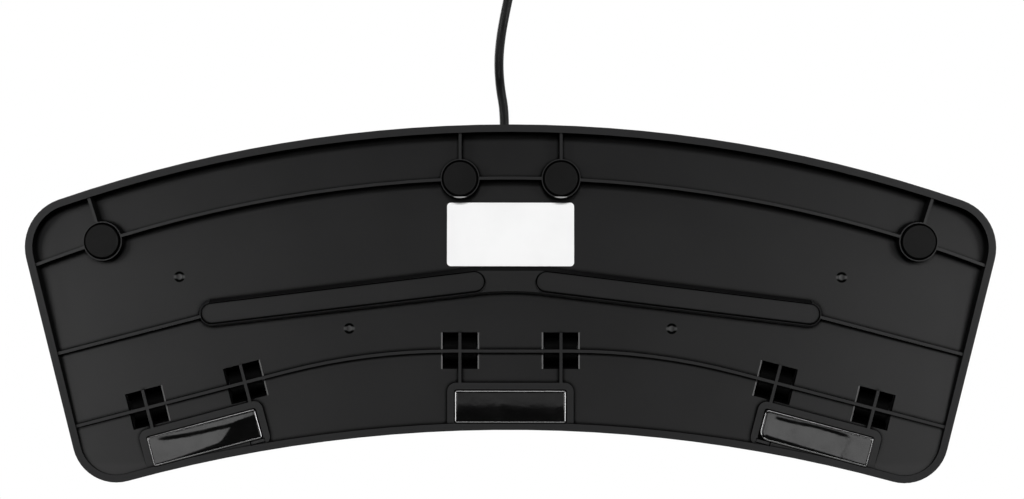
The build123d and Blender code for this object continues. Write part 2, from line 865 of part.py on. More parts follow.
def grip_plan(shrink):
    """Outline of the grip on the pedal's top plane, made smaller all round by shrink."""
    height = pedal_top
    rise = cos(radians(pedal_tilt))
    rear = (pedal_rear - climb(height + climb(pedal_rear, pedal_tilt), pedal_rear_draft)) / rise
    front = climb(height, pedal_side_draft) - pedal_front
    half = pedal_half_width - climb(plate_under(pedal_rear), pedal_side_draft) - grip_margin
    length = rear - front - 2 * grip_margin
    shape = RectangleRounded(2 * (half - shrink), length - 2 * shrink, grip_corner - shrink)
    return Pos(0, (front + rear) / 2) * shape, half, (front + rear) / 2, length


def grip_recess_cut():
    floor = slope(pedal_top, pedal_tilt).offset(-grip_recess)
    return extrude(floor * grip_plan(0)[0], amount=grip_recess + overrun)


def grip():
    """Rubber pad with ridges across it."""
    shape, half, middle, length = grip_plan(fit_gap)
    floor = slope(pedal_top, pedal_tilt).offset(-grip_recess)
    pad = floor * extrude(shape, amount=grip_thickness)
    pitch = (length - grip_corner) / grip_ridge_count
    ridge = Polygon(
        (-grip_ridge_foot / 2, 0),
        (grip_ridge_foot / 2, 0),
        (grip_ridge_top / 2, grip_ridge_height),
        (-grip_ridge_top / 2, grip_ridge_height),
        align=None,
    )
    reach_x = half - grip_corner / 2
    for i in range(grip_ridge_count):
        y = middle + (i - (grip_ridge_count - 1) / 2) * pitch
        profile = Plane.YZ.offset(-reach_x) * Pos(y, grip_thickness) * ridge
        pad += floor * extrude(profile, amount=2 * reach_x)
    return pad


def pin_length():
    return 2 * (knuckle_offset + window_width / 2 + ear_thickness + pin_overhang)


def hinge_pin():
    return extrude(Plane.YZ.offset(-pin_length() / 2) * Circle(pin_radius), amount=pin_length())


def return_spring():
    """Compression spring between the floor and the pedal."""
    height = spring_cup_z() - spring_play - spring_seat_z - spring_wire
    path = Helix(pitch=height / spring_turns, height=height, radius=spring_radius)
    section = Plane(origin=path @ 0, z_dir=path % 0) * RegularPolygon(spring_wire / 2, 4)
    coil = sweep(section, path=path, is_frenet=True)
    return Pos(0, spring_y, spring_seat_z + spring_wire / 2) * coil


# Key switches


def switch_base():
    z = board_lift + board_thickness
    block = Pos(0, 0, z) * extrude(Rectangle(switch_side, switch_side), amount=switch_base_height)
    hollow = Rectangle(switch_cavity_width, switch_cavity_length)
    return block - Pos(0, 0, z + switch_wall) * extrude(hollow, amount=switch_base_height)


def switch_cover():
    z = board_lift + board_thickness + switch_base_height
    flange = Pos(0, 0, z) * extrude(Rectangle(switch_flange, switch_flange), amount=switch_flange_height)
    z += switch_flange_height
    foot = Pos(0, 0, z) * Rectangle(switch_side, switch_side)
    head = Pos(0, 0, z + switch_cover_height) * Rectangle(switch_cover_top_width, switch_cover_top_length)
    shell = flange + loft([foot, head], ruled=True)
    hollow = Rectangle(switch_cavity_width, switch_cavity_length)
    depth = switch_flange_height + switch_cover_height - switch_wall
    shell -= Pos(0, 0, z - switch_flange_height) * extrude(hollow, amount=depth)
    hole = Rectangle(stem_width + 2 * stem_clearance, stem_length + 2 * stem_clearance)
    return shell - Pos(0, 0, z) * extrude(hole, amount=switch_cover_height)


def switch_stem():
    """Slider with the cross that stands out of the switch."""
    top = board_lift + board_thickness + switch_base_height + switch_flange_height + switch_cover_height
    slider = extrude(Rectangle(stem_width, stem_length), amount=stem_depth + switch_wall)
    bars = Rectangle(stem_cross, stem_cross_bar) + Rectangle(stem_cross_bar, stem_cross)
    slider = Pos(0, 0, -stem_depth - switch_wall) * slider
    return Pos(0, 0, top) * (slider + extrude(bars, amount=stem_rise))


# Boards


def board(width, length):
    plate = Pos(0, 0, board_lift) * extrude(Rectangle(width, length), amount=board_thickness)
    for x, y in board_pegs(width, length)[::2]:
        plate -= Pos(x, y, 0) * rod(small_screw_radius + screw_hole_gap, reach)
    return plate


def small_screw(length):
    """Screw with its head's underside at the origin."""
    shank = Pos(0, 0, -length) * rod(small_screw_radius, length)
    drive = Pos(0, 0, small_head_height / 2) * rod(small_screw_radius / 2, small_head_height)
    return shank + rod(small_head_radius, small_head_height) - drive


def board_screws():
    screws = []
    for frame, width, length in board_frames().values():
        for x, y in board_pegs(width, length)[::2]:
            spot = Pos(x, y, board_lift + board_thickness)
            screws.append(frame * spot * small_screw(board_thickness + board_lift + floor_thickness / 2))
    return Compound(children=screws)


# Screws and feet of the body


def cover_screws():
    screws = []
    for x, y in foot_places.values():
        seat_z = floor_top_z(y) - screw_seat_thickness
        head = Pos(0, 0, -screw_head_height) * rod(screw_head_radius, screw_head_height)
        shank = rod(screw_radius, screw_seat_thickness + screw_bite)
        drive = Pos(0, 0, -screw_head_height) * rod(screw_drive_radius, screw_drive_depth)
        screws.append(Pos(x, y, seat_z) * (head + shank - drive))
    return Compound(children=screws)


def round_foot(x, y):
    disc = rod(foot_radius, foot_thickness)
    disc = chamfer(disc.edges().group_by(Axis.Z)[0], foot_edge)
    return Pos(x, y, 0) * disc


def front_pad(place, width, length):
    pad = extrude(RectangleRounded(width, length, pad_corner), amount=pad_thickness)
    pad = chamfer(pad.edges().group_by(Axis.Z)[0], pad_edge)
    return place * pad


def blank_label():
    panel = floor_frame(0, label_y).offset(-floor_thickness * cos(radians(floor_tilt)))
    shape = RectangleRounded(label_width, label_length, label_corner)
    return extrude(panel * shape, amount=-label_thickness)


# Cord


def fillet_radii(points):
    """Largest arcs that the runs on both sides of each corner allow."""
    radii = []
    for before, here, after in zip(points, points[1:], points[2:]):
        first = Vector(*here) - Vector(*before)
        second = Vector(*after) - Vector(*here)
        turn = radians(first.get_angle(second))
        radii.append(arc_share * min(first.length, second.length) / tan(turn / 2))
    return radii


def tube(path, radius):
    start = Plane(origin=path @ 0, z_dir=path % 0)
    return sweep(start * Circle(radius), path=path)


def cord_tube(points, name):
    radii = fillet_radii(points)
    path = FilletPolyline(*points, radius=radii)
    solid = tube(path, cord_radius)
    print(name, round(path.length, 1), "least radius", round(min(radii), 1),
          "volume over section times length", round(solid.volume / (pi * cord_radius**2 * path.length), 4))
    return solid


def coil_distances():
    """Distances from the coil's middle at which each layer crosses its own x axis."""
    layers = []
    step_count = 0
    for layer, half_turns in enumerate(coil_half_turns):
        inwards = 1 if layer % 2 == 0 else -1
        counts = [step_count + inwards * i for i in range(half_turns + 1)]
        step_count = counts[-1]
        distances = [coil_radius - count * coil_step / 2 for count in counts]
        if layer > 0:
            distances[0] += inwards * coil_swing
        if layer < len(coil_half_turns) - 1:
            distances[-1] -= inwards * coil_swing
        layers.append(distances)
    return layers


def reversal(start, tangent, end):
    """Half turn that climbs one layer, as two arcs that meet smoothly half way round."""
    half = (end - start) / 2
    middle = (start + end) / 2 + tangent * half.length
    first = TangentArc(start, middle, tangent=tangent)
    return [first, TangentArc(middle, end, tangent=first % 1)]


def coil_path():
    """Turns of the coil in its own frame: it starts at (coil_radius, 0, 0) and goes off along +Y."""
    edges = [Line((coil_radius, -cord_diameter, 0), (coil_radius, 0, 0))]
    side = 1
    for layer, distances in enumerate(coil_distances()):
        if layer > 0:
            here = Vector(side * distances[0], 0, (layer - 1) * coil_step)
            there = Vector(-side * distances[0], 0, layer * coil_step)
            edges += reversal(here, Vector(0, side, 0), there)
            side = -side
        for near, far in zip(distances, distances[1:]):
            here = Vector(side * near, 0, layer * coil_step)
            there = Vector(-side * far, 0, layer * coil_step)
            edges.append(TangentArc(here, there, tangent=Vector(0, side, 0)))
            side = -side
    last = Vector(0, side * (distances[-1] + coil_step / 4), layer * coil_step)
    edges.append(TangentArc(edges[-1] @ 1, last, tangent=Vector(0, side, 0)))
    edges.append(Line(last, last + (edges[-1] % 1) * cord_diameter))
    return Wire(edges)


def coil_end():
    """Frame at the end of the coil, with X along the cord."""
    path = coil_path()
    way = path % 1
    return coil_frame() * Pos(*(path @ 1)) * Rot(0, 0, degrees(atan2(way.Y, way.X)))


def coil_frame():
    """Frame of the coil, from the last run of the cord's route."""
    start = Vector(*cord_route[-1])
    way = (start - Vector(*cord_route[-2])).normalized()
    turn = degrees(atan2(-way.X, way.Y))
    across = Vector(cos(radians(turn)), sin(radians(turn)), 0)
    centre = start - across * coil_radius + way * cord_diameter
    return Pos(centre.X, centre.Y, centre.Z) * Rot(0, 0, turn)


def least_self_gap(path, diameter):
    """Smallest gap between stretches of the path that lie more than three diameters apart along it."""
    count = int(path.length / (diameter / 2))
    points = numpy.array([tuple(path @ (i / count)) for i in range(count + 1)])
    skip = int(3 * diameter / (path.length / count)) + 1
    least = path.length
    for i in range(len(points) - skip):
        apart = numpy.linalg.norm(points[i + skip:] - points[i], axis=1)
        least = min(least, apart.min())
    return least - diameter


def cord_coil():
    path = coil_path()
    gap = least_self_gap(path, cord_diameter)
    solid = tube(path, cord_radius)
    print("coil", round(path.length, 1), "least gap", round(gap, 2),
          "volume over section times length", round(solid.volume / (pi * cord_radius**2 * path.length), 4))
    return coil_frame() * solid


def tail_route():
    """Points from the end of the coil down to the plug, which lies on the table."""
    end = coil_end()
    drop = end.position.Z - plug_body_height / 2
    runs = zip(tail_run_shares, tail_drop_shares)
    return [(end * Pos(tail_slope * drop * run, 0, -drop * fall)).position for run, fall in runs]


def cord_tie():
    """Band round the turns, on the side away from the object."""
    outer = coil_radius + cord_radius + tie_gap
    inner = min(min(distances) for distances in coil_distances()) - cord_radius - tie_gap
    width = outer - inner
    height = (len(coil_half_turns) - 1) * coil_step + cord_diameter + 2 * tie_gap
    hole = RectangleRounded(width, height, tie_corner)
    band = RectangleRounded(width + 2 * tie_thickness, height + 2 * tie_thickness, tie_corner + tie_thickness)
    middle_z = (len(coil_half_turns) - 1) * coil_step / 2
    spot = Plane.YZ.offset(-tie_width / 2) * Pos((outer + inner) / 2, middle_z)
    return coil_frame() * extrude(spot * (band - hole), amount=tie_width)


# Where the cord enters the body


def grommet():
    """Rubber bush in the rear wall, with a flange inside."""
    inner = rear_apex_y - cover_wall - lip_thickness - 2 * fit_gap
    bush = cord_notch(grommet_radius, rear_apex_y + overrun, rear_apex_y + overrun - inner)
    bush &= Pos(0, 0, rim_z) * extrude(outline(), amount=reach)
    flange = cord_notch(grommet_radius + grommet_flange, inner, grommet_flange_thickness)
    bush += flange & over(floor_top_z(0) + fit_gap, floor_tilt)
    return bush - cord_notch(cord_radius, rear_apex_y + overrun, 2 * rear_apex_y)


def cord_inside():
    return cord_notch(cord_radius, rear_apex_y, rear_apex_y - cord_strip_y)


def cord_cores():
    path = FilletPolyline(*core_route, radius=fillet_radii(core_route))
    return tube(path, core_radius)


def cord_clamp():
    """Bridge over the cord, screwed down on its saddle."""
    width = 2 * clamp_half_width
    arch = Circle(cord_radius + clamp_thickness) + Pos(0, clamp_thickness / 2) * Rectangle(width, clamp_thickness)
    arch -= Circle(cord_radius)
    arch &= Pos(0, reach / 2) * Rectangle(reach, reach)
    start = Plane.XZ.offset(-clamp_y - clamp_length / 2)
    bridge = extrude(start * Pos(cord_exit_x, cord_axis_z) * arch, amount=clamp_length)
    for x in (-clamp_screw_offset, clamp_screw_offset):
        bridge -= Pos(cord_exit_x + x, clamp_y, 0) * rod(small_screw_radius + screw_hole_gap, reach)
    return bridge


def clamp_screws():
    screws = []
    for x in (-clamp_screw_offset, clamp_screw_offset):
        spot = Pos(cord_exit_x + x, clamp_y, cord_axis_z + clamp_thickness)
        screws.append(spot * small_screw(small_screw_length))
    return Compound(children=screws)


# Parts on the controller board


def on_controller(x, y):
    return floor_frame(controller_x, controller_y) * Pos(x, y, board_lift + board_thickness)


def controller_chip():
    body = extrude(Rectangle(chip_side, chip_side), amount=chip_height)
    return on_controller(chip_x, chip_y) * chamfer(body.edges().group_by(Axis.Z)[-1], chip_height / 4)


def crystal():
    can = extrude(SlotOverall(crystal_length, crystal_width), amount=crystal_height)
    return on_controller(crystal_x, crystal_y) * can


def board_connectors():
    sockets = []
    for x, y in connector_spots:
        block = extrude(Rectangle(connector_width, connector_length), amount=connector_height)
        well = Rectangle(connector_width - 2 * connector_wall, connector_length - 2 * connector_wall)
        block -= Pos(0, 0, connector_wall) * extrude(well, amount=connector_height)
        sockets.append(on_controller(x, y) * block)
    return Compound(children=sockets)


def switch_leads(points):
    """Flat pair of wires on the inside of the floor."""
    rise = cos(radians(floor_tilt))
    flat = [(x, y / rise) for x, y in points]
    line = FilletPolyline(*flat, radius=lead_bend) if len(flat) > 2 else Line(*flat)
    return extrude(floor_frame(0, 0) * trace(line, line_width=lead_width), amount=lead_thickness)


# Plug, in its own frame: it points along +X, and the cord ends at the origin


def plug_frame():
    return Location(tail_route()[-1], coil_end().orientation)


def plug_tube(width, height, corner, start, length):
    profile = RectangleRounded(width, height, corner)
    return extrude(Plane.YZ.offset(start) * profile, amount=length)


def plug_body():
    """Overmoulding with a tapered relief for the cord."""
    body = plug_tube(
        plug_body_width, plug_body_height, plug_body_corner, plug_relief_length, plug_body_length
    )
    ends = body.edges().group_by(Axis.X)
    body = chamfer(ends[0] + ends[-1], plug_body_edge)
    root = Plane.YZ.offset(plug_relief_length + plug_body_edge) * Circle(plug_relief_root)
    tip = Plane.YZ * Circle(plug_relief_radius)
    return body + loft([tip, root], ruled=True)


def plug_shell():
    start = plug_relief_length + plug_body_length
    shell = plug_tube(plug_shell_width, plug_shell_height, plug_shell_corner, start, plug_shell_length)
    inner = plug_tube(
        plug_shell_width - 2 * plug_shell_wall,
        plug_shell_height - 2 * plug_shell_wall,
        plug_shell_corner - plug_shell_wall,
        start,
        plug_shell_length,
    )
    shell -= inner
    for y in (-plug_latch_offset, plug_latch_offset):
        window = Box(plug_latch_side, plug_latch_side, 2 * plug_shell_height)
        shell -= Pos(start + plug_shell_length - plug_latch_from_tip, y, 0) * window
    return shell


def plug_insert():
    """Plastic tongue in the lower half of the shell."""
    start = plug_relief_length + plug_body_length
    width = plug_shell_width - 2 * plug_shell_wall - 2 * fit_gap
    length = plug_shell_length - plug_insert_short
    bottom = plug_shell_wall + fit_gap - plug_shell_height / 2
    middle = Pos(start + length / 2, 0, bottom + plug_insert_thickness / 2)
    return middle * Box(length, width, plug_insert_thickness)


def plug_contacts():
    start = plug_relief_length + plug_body_length
    tip = start + plug_shell_length - plug_insert_short - fit_gap
    top = plug_shell_wall + fit_gap - plug_shell_height / 2 + plug_insert_thickness
    strips = []
    for i in range(plug_contact_count):
        y = (i - (plug_contact_count - 1) / 2) * plug_contact_pitch
        spot = Pos(tip - plug_contact_length / 2, y, top + plug_contact_thickness / 2)
        strips.append(spot * Box(plug_contact_length, plug_contact_width, plug_contact_thickness))
    return Compound(children=[plug_frame() * strip for strip in strips])


# Outputs

save("base_plate", base_plate())
save("top_cover", top_cover())
save("cover_screws", cover_screws())
save("board_screws", board_screws())
save("blank_label", blank_label())
for foot, (x, y) in foot_places.items():
    save(f"round_foot_{foot}", round_foot(x, y))
for side, (place, width, length) in pad_places().items():
    save(f"front_pad_{side}", front_pad(place, width, length))

pedal_shape = pedal()
grip_shape = grip()
spring_shape = return_spring()
for side in stations:
    frame = hinge(side)
    save(f"pedal_{side}", frame * pedal_shape)
    save(f"grip_{side}", frame * grip_shape)
    save(f"hinge_pin_{side}", frame * hinge_pin())
    save(f"return_spring_{side}", frame * spring_shape)
    spot = switch_frame(side, 0, switch_y)
    save(f"switch_base_{side}", spot * switch_base())
    save(f"switch_cover_{side}", spot * switch_cover())
    save(f"switch_stem_{side}", spot * switch_stem())

for side, (frame, width, length) in board_frames().items():
    name = "controller_board" if side == "controller" else f"switch_board_{side}"
    save(name, frame * board(width, length))
for side, shares in lead_shares.items():
    points = [(x * side_half_width, y * rear_apex_y) for x, y in shares]
    save(f"switch_leads_{side}", switch_leads(points))
save("controller_chip", controller_chip())
save("crystal", crystal())
save("board_connectors", board_connectors())

save("cord", cord_tube(cord_route, "cord"))
save("cord_coil", cord_coil())
save("cord_tail", cord_tube([tuple(point) for point in tail_route()], "tail"))
save("cord_tie", cord_tie())
save("cord_grommet", grommet())
save("cord_inside", cord_inside())
save("cord_cores", cord_cores())
save("cord_clamp", cord_clamp())
save("clamp_screws", clamp_screws())
save("plug_body", plug_frame() * plug_body())
save("plug_shell", plug_frame() * plug_shell())
save("plug_insert", plug_frame() * plug_insert())
save("plug_contacts", plug_contacts())
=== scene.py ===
import math

import bpy
from mathutils import Matrix, Vector

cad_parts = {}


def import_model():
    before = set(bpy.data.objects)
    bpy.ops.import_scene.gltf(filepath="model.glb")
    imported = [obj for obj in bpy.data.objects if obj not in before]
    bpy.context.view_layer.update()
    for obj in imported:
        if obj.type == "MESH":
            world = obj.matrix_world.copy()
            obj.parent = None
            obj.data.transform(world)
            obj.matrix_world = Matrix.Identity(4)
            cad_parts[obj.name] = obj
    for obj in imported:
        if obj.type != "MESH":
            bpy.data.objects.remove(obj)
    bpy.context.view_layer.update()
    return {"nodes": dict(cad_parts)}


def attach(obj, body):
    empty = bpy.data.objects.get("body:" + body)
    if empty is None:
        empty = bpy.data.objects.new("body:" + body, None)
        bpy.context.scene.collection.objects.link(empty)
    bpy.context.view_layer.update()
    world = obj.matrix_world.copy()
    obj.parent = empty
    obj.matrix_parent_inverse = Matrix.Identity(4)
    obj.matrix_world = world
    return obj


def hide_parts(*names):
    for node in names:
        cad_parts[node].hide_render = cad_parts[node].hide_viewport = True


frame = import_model()

# Lengths are in metres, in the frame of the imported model: the object stands at z = 0, its cord leaves to +Y.

MM = 0.001
SIDES = ("left", "middle", "right")
FEET = ("inner_left", "inner_right", "outer_left", "outer_right")

# Levels of the base plate and the cover, where y = 0, and how fast the sloped ones rise to the rear
RIM_Z, RIB_END_Z = 1.2 * MM, 1.75 * MM
FLOOR_Z, FLOOR_RISE = 7.0 * MM, math.tan(math.radians(5.43))
DECK_Z, DECK_RISE = 22.3 * MM, math.tan(math.radians(9.0))

# Places and sizes of the underside's details on the right half, which the left half mirrors
MIDDLE_Y = 25 * MM
DIMPLES = ((113.5 * MM, 9.0 * MM), (55.15 * MM, -8.6 * MM))
DIMPLE_RADIUS, NUB_RADIUS = 1.75 * MM, 0.8 * MM
PLATEAU = ((12.4 * MM, 7.4 * MM), (101.8 * MM, -3.5 * MM))
PLATEAU_RADIUS, GROOVE_INSET = 3.8 * MM, 0.3 * MM
INNER_FOOT, OUTER_FOOT = (17.2 * MM, 42.6 * MM), (138.9 * MM, 21.2 * MM)
FOOT_FACE_RADIUS, FOOT_CUP_RADIUS, FOOT_BOSS_RADIUS = 5.45 * MM, 6.25 * MM, 6.5 * MM
SIDE_PAD, SIDE_PAD_SIZE, PAD_TURN = (104 * MM, -45.6 * MM), (38.4 * MM, 10.6 * MM), math.radians(14.9)
MIDDLE_PAD, MIDDLE_PAD_SIZE = (0, -35 * MM), (38.2 * MM, 11.4 * MM)
POCKET_GAP = 0.4 * MM
MIDDLE_WINDOWS_X = 40 * MM


# Node materials


class Shader:
    """A material built of nodes round one Principled BSDF, with textures in object space."""

    def __init__(self, name, color, roughness, **sockets):
        self.material = bpy.data.materials.new(name)
        self.material.use_nodes = True
        self.tree = self.material.node_tree
        self.surface = self.tree.nodes["Principled BSDF"]
        self.surface.inputs["Base Color"].default_value = (*color, 1)
        self.surface.inputs["Roughness"].default_value = roughness
        for socket, value in sockets.items():
            self.surface.inputs[socket.replace("_", " ")].default_value = value
        origin = self.add("ShaderNodeTexCoord")
        self.place = origin.outputs["Object"]
        self.facing = origin.outputs["Normal"]

    def add(self, kind, inputs=None, **settings):
        node = self.tree.nodes.new(kind)
        for name, value in settings.items():
            setattr(node, name, value)
        for socket, value in (inputs or {}).items():
            if isinstance(value, bpy.types.NodeSocket):
                self.tree.links.new(value, node.inputs[socket])
            else:
                node.inputs[socket].default_value = value
        return node

    def noise(self, grain, detail=2.0, stretch=(1, 1, 1)):
        """Noise whose lumps are about grain across."""
        place = self.place
        if stretch != (1, 1, 1):
            place = self.add("ShaderNodeMapping", {"Vector": place, "Scale": stretch}).outputs[0]
        inputs = {"Vector": place, "Scale": 1 / grain, "Detail": detail}
        return self.add("ShaderNodeTexNoise", inputs).outputs["Fac"]

    def spread(self, value, start, end, low, high):
        """Value between start and end, moved to the span from low to high."""
        inputs = {"Value": value, "From Min": start, "From Max": end, "To Min": low, "To Max": high}
        return self.add("ShaderNodeMapRange", inputs).outputs["Result"]

    def math(self, operation, first, second):
        return self.add("ShaderNodeMath", {0: first, 1: second}, operation=operation).outputs[0]

    def size(self, value):
        return self.math("ABSOLUTE", value, 0)

    def product(self, first, *others):
        for other in others:
            first = self.math("MULTIPLY", first, other)
        return first

    def largest(self, first, *others):
        for other in others:
            first = self.math("MAXIMUM", first, other)
        return first

    def under(self, value, limit, blur):
        """1 up to limit, and 0 from limit + blur on."""
        return self.spread(value, limit, limit + blur, 1, 0)

    def over(self, value, limit, blur):
        """0 up to limit, and 1 from limit + blur on."""
        return self.spread(value, limit, limit + blur, 0, 1)

    def facing_down(self, share, blur=0.1):
        """1 where the surface's normal points down by share or more."""
        return self.under(self.axis(self.facing, "Z"), -share, blur)

    def axis(self, vector, name):
        return self.add("ShaderNodeSeparateXYZ", {0: vector}).outputs[name]

    def above(self, height, rise):
        """Height above the plane that stands at height where y is 0 and rises to the rear by rise."""
        level = self.math("ADD", self.product(self.axis(self.place, "Y"), rise), height)
        return self.math("SUBTRACT", self.axis(self.place, "Z"), level)

    def beside(self, x, y):
        """Offsets in x, outwards, and in y from the upright lines through (x, y) and (-x, y)."""
        outwards = self.math("SUBTRACT", self.size(self.axis(self.place, "X")), x)
        return outwards, self.math("SUBTRACT", self.axis(self.place, "Y"), y)

    def length(self, x, y):
        square = self.math("ADD", self.product(x, x), self.product(y, y))
        return self.math("SQRT", square, 0)

    def around(self, x, y):
        """Distance from the nearer of the upright lines through (x, y) and (-x, y)."""
        return self.length(*self.beside(x, y))

    def turned(self, x, y, turn):
        """Distances along and across a frame that stands at (x, y), turned by turn, and its mirror image."""
        dx, dy = self.beside(x, y)
        cosine, sine = math.cos(turn), math.sin(turn)
        along = self.math("ADD", self.product(dx, cosine), self.product(dy, sine))
        across = self.math("SUBTRACT", self.product(dy, cosine), self.product(dx, sine))
        return self.size(along), self.size(across)

    def within(self, x, y, turn, width, length):
        """1 inside the rectangles that stand at (x, y) and (-x, y), turned by turn and mirrored."""
        along, across = self.turned(x, y, turn)
        return self.product(self.math("LESS_THAN", along, width / 2),
                            self.math("LESS_THAN", across, length / 2))

    def from_line(self, start, end):
        """Distance from the line between start and end and from its mirror image."""
        (x0, y0), (x1, y1) = start, end
        along, across = self.turned((x0 + x1) / 2, (y0 + y1) / 2, math.atan2(y1 - y0, x1 - x0))
        past = self.largest(self.math("SUBTRACT", along, math.dist(start, end) / 2), 0)
        return self.length(past, across)

    def blend(self, factor, first, second):
        """Colour that goes from first to second with factor."""
        node = self.add("ShaderNodeMix", {"Factor": factor}, data_type="RGBA")
        for socket, value in (("A", first), ("B", second)):
            target = next(s for s in node.inputs if s.name == socket and s.type == "RGBA")
            if isinstance(value, bpy.types.NodeSocket):
                self.tree.links.new(value, target)
            else:
                target.default_value = (*value, 1)
        return next(s for s in node.outputs if s.type == "RGBA")

    def color(self, socket):
        self.tree.links.new(socket, self.surface.inputs["Base Color"])
        return self

    def rough(self, socket):
        self.tree.links.new(socket, self.surface.inputs["Roughness"])
        return self

    def gloss(self, socket):
        self.tree.links.new(socket, self.surface.inputs["Specular IOR Level"])
        return self

    def bump(self, height, depth):
        """Raises the surface by depth where height is 1, on top of any bump that is there."""
        before = self.surface.inputs["Normal"].links
        inputs = {"Height": height, "Distance": depth, "Strength": 1.0}
        if before:
            inputs["Normal"] = before[0].from_socket
        normal = self.add("ShaderNodeBump", inputs).outputs["Normal"]
        self.tree.links.new(normal, self.surface.inputs["Normal"])
        return self


# Shares of noise between which a surface changes from one look to the other
CRISP, SOFT = (0.35, 0.65), (0.3, 0.7)


def grey(level):
    return (level, level, level)


def mottled(name, dark, light, roughness, grain, depth, patch=14 * MM, swing=0.04, **sockets):
    """Moulded or rubbery finish: soft patches of colour and gloss, and a fine grain."""
    shader = Shader(name, light, roughness, **sockets)
    patches = shader.noise(patch, 3.0)
    shader.color(shader.blend(shader.spread(patches, *CRISP, 0, 1), dark, light))
    fine = shader.noise(grain, 1.0)
    shader.rough(shader.math("ADD", shader.spread(patches, *SOFT, -swing, swing), roughness))
    shader.bump(fine, depth)
    return shader


def metal(name, color, roughness, grain, stretch=(1, 1, 1), tarnish=0.82, depth=0.01 * MM):
    """Metal with scratches that are darker and smoother than the rest."""
    shader = Shader(name, color, roughness, Metallic=1.0)
    scratch = shader.noise(grain, 3.0, stretch)
    shader.color(shader.blend(scratch, [tarnish * c for c in color], color))
    shader.rough(shader.spread(scratch, *SOFT, roughness - 0.08, roughness + 0.1))
    shader.bump(scratch, depth)
    return shader


# Plastic of the base plate

FLOOR_COLOR = (0.0115, 0.0115, 0.0117)
RIB_COLOR, RIM_COLOR = (0.014, 0.014, 0.0143), (0.019, 0.019, 0.0195)
# Painted light and shade: black for painted shade, a pale grey for the painted highlight on the window edges
# and a paler grey for the painted glint on the bosses
SHADED, EDGE_HIGHLIGHT, GLINT = grey(0.001), grey(0.16), grey(0.32)
# Painted light and shade of the dimples: the nub's shaded side, its lit inner side and the lit ring round it
NUB_SHADED_SIDE, NUB_LIT_SIDE, DIMPLE_RING_LIT = grey(0.016), grey(0.075), grey(0.045)
HOUSING_ROUGHNESS, HOUSING_GLOSS, RIM_GLOSS_SHARE = 0.33, 0.3, 0.5
PATCH_SIZE, PATCH_SHARE = 26 * MM, 0.88
# Reach and levels of the ambient occlusion that paints shade beside walls and ribs
CREASE_REACH, CREASE_OPEN, CREASE_CLOSED, CREASE_SHARE = 1.4 * MM, 0.9, 0.66, 0.92
GRAIN_SIZE, GRAIN_DEPTH = 0.35 * MM, 0.012 * MM
BLUR = 0.1 * MM


def outer_walls(shader):
    """1 on the walls that face away from the middle of the base plate."""
    aside = shader.product(shader.axis(shader.place, "X"), shader.axis(shader.facing, "X"))
    from_middle = shader.math("SUBTRACT", shader.axis(shader.place, "Y"), MIDDLE_Y)
    lengthwise = shader.product(from_middle, shader.axis(shader.facing, "Y"))
    return shader.over(shader.math("ADD", aside, lengthwise), 0, 2 * MM)


def rear_wall_shade(shader, outer):
    """1 on the inner walls that face the rear, which are painted black as shade."""
    rearwards = shader.over(shader.axis(shader.facing, "Y"), 0.15, 0.1)
    return shader.product(rearwards, shader.facing_down(0.4), shader.under(outer, 0, 1))


def window_edge_highlights(shader):
    """1 on the windows' rounded edges that face sideways, where a highlight is painted: all in the middle, the
    outer ones at the sides.
    """
    x, facing_x = shader.axis(shader.place, "X"), shader.axis(shader.facing, "X")
    outwards = shader.over(shader.product(x, facing_x), 0, 8 * MM)
    middle = shader.under(shader.size(x), MIDDLE_WINDOWS_X, 5 * MM)
    sideways = shader.over(shader.size(facing_x), 0.45, 0.1)
    at_floor = shader.under(shader.size(shader.above(FLOOR_Z, FLOOR_RISE)), 0.6 * MM, BLUR)
    return shader.product(sideways, shader.largest(outwards, middle), shader.facing_down(0.5), at_floor)


def groove_shade(shader):
    """1 along the foot of the plateaus' edges, where a dark line of shade is painted."""
    offset = shader.math("SUBTRACT", shader.from_line(*PLATEAU), PLATEAU_RADIUS - GROOVE_INSET)
    return shader.under(shader.size(offset), GROOVE_INSET / 2, BLUR)


def crease_shade(shader, down):
    """Close to 1 on the floor beside a wall or a rib, but not in the dimples: painted shade, from ambient
    occlusion.
    """
    node = shader.add("ShaderNodeAmbientOcclusion", {"Distance": CREASE_REACH}, samples=6, only_local=True)
    closed = shader.spread(node.outputs["AO"], CREASE_OPEN, CREASE_CLOSED, 0, CREASE_SHARE)
    crease = shader.product(closed, down)
    for place in DIMPLES:
        crease = shader.product(crease, shader.over(shader.around(*place), 2 * MM, 0.3 * MM))
    return crease


def dimples(shader, color, down):
    """The colour with the dimples added, with painted light on the nubs' inner sides and on their rings, and 1
    where shade is painted on the rings, fore and aft of the nubs.
    """
    shaded = 0
    for place in DIMPLES:
        outward, rearward = shader.beside(*place)
        distance = shader.around(*place)
        inside = shader.product(shader.under(distance, DIMPLE_RADIUS, 0.3 * MM), down)
        ring = shader.over(distance, NUB_RADIUS, 0.3 * MM)
        # Painted light: the nub is paler on its inner side, and the ring round it is lit
        nub = shader.blend(shader.under(outward, -0.9 * MM, 1.4 * MM), NUB_SHADED_SIDE, NUB_LIT_SIDE)
        color = shader.blend(inside, color, shader.blend(ring, nub, DIMPLE_RING_LIT))
        # Painted shade on the ring, fore and aft of the nub
        fore_and_aft = shader.over(shader.size(rearward), 0.3 * MM, 0.5 * MM)
        shaded = shader.largest(shaded, shader.product(inside, ring, fore_and_aft))
    return color, shaded


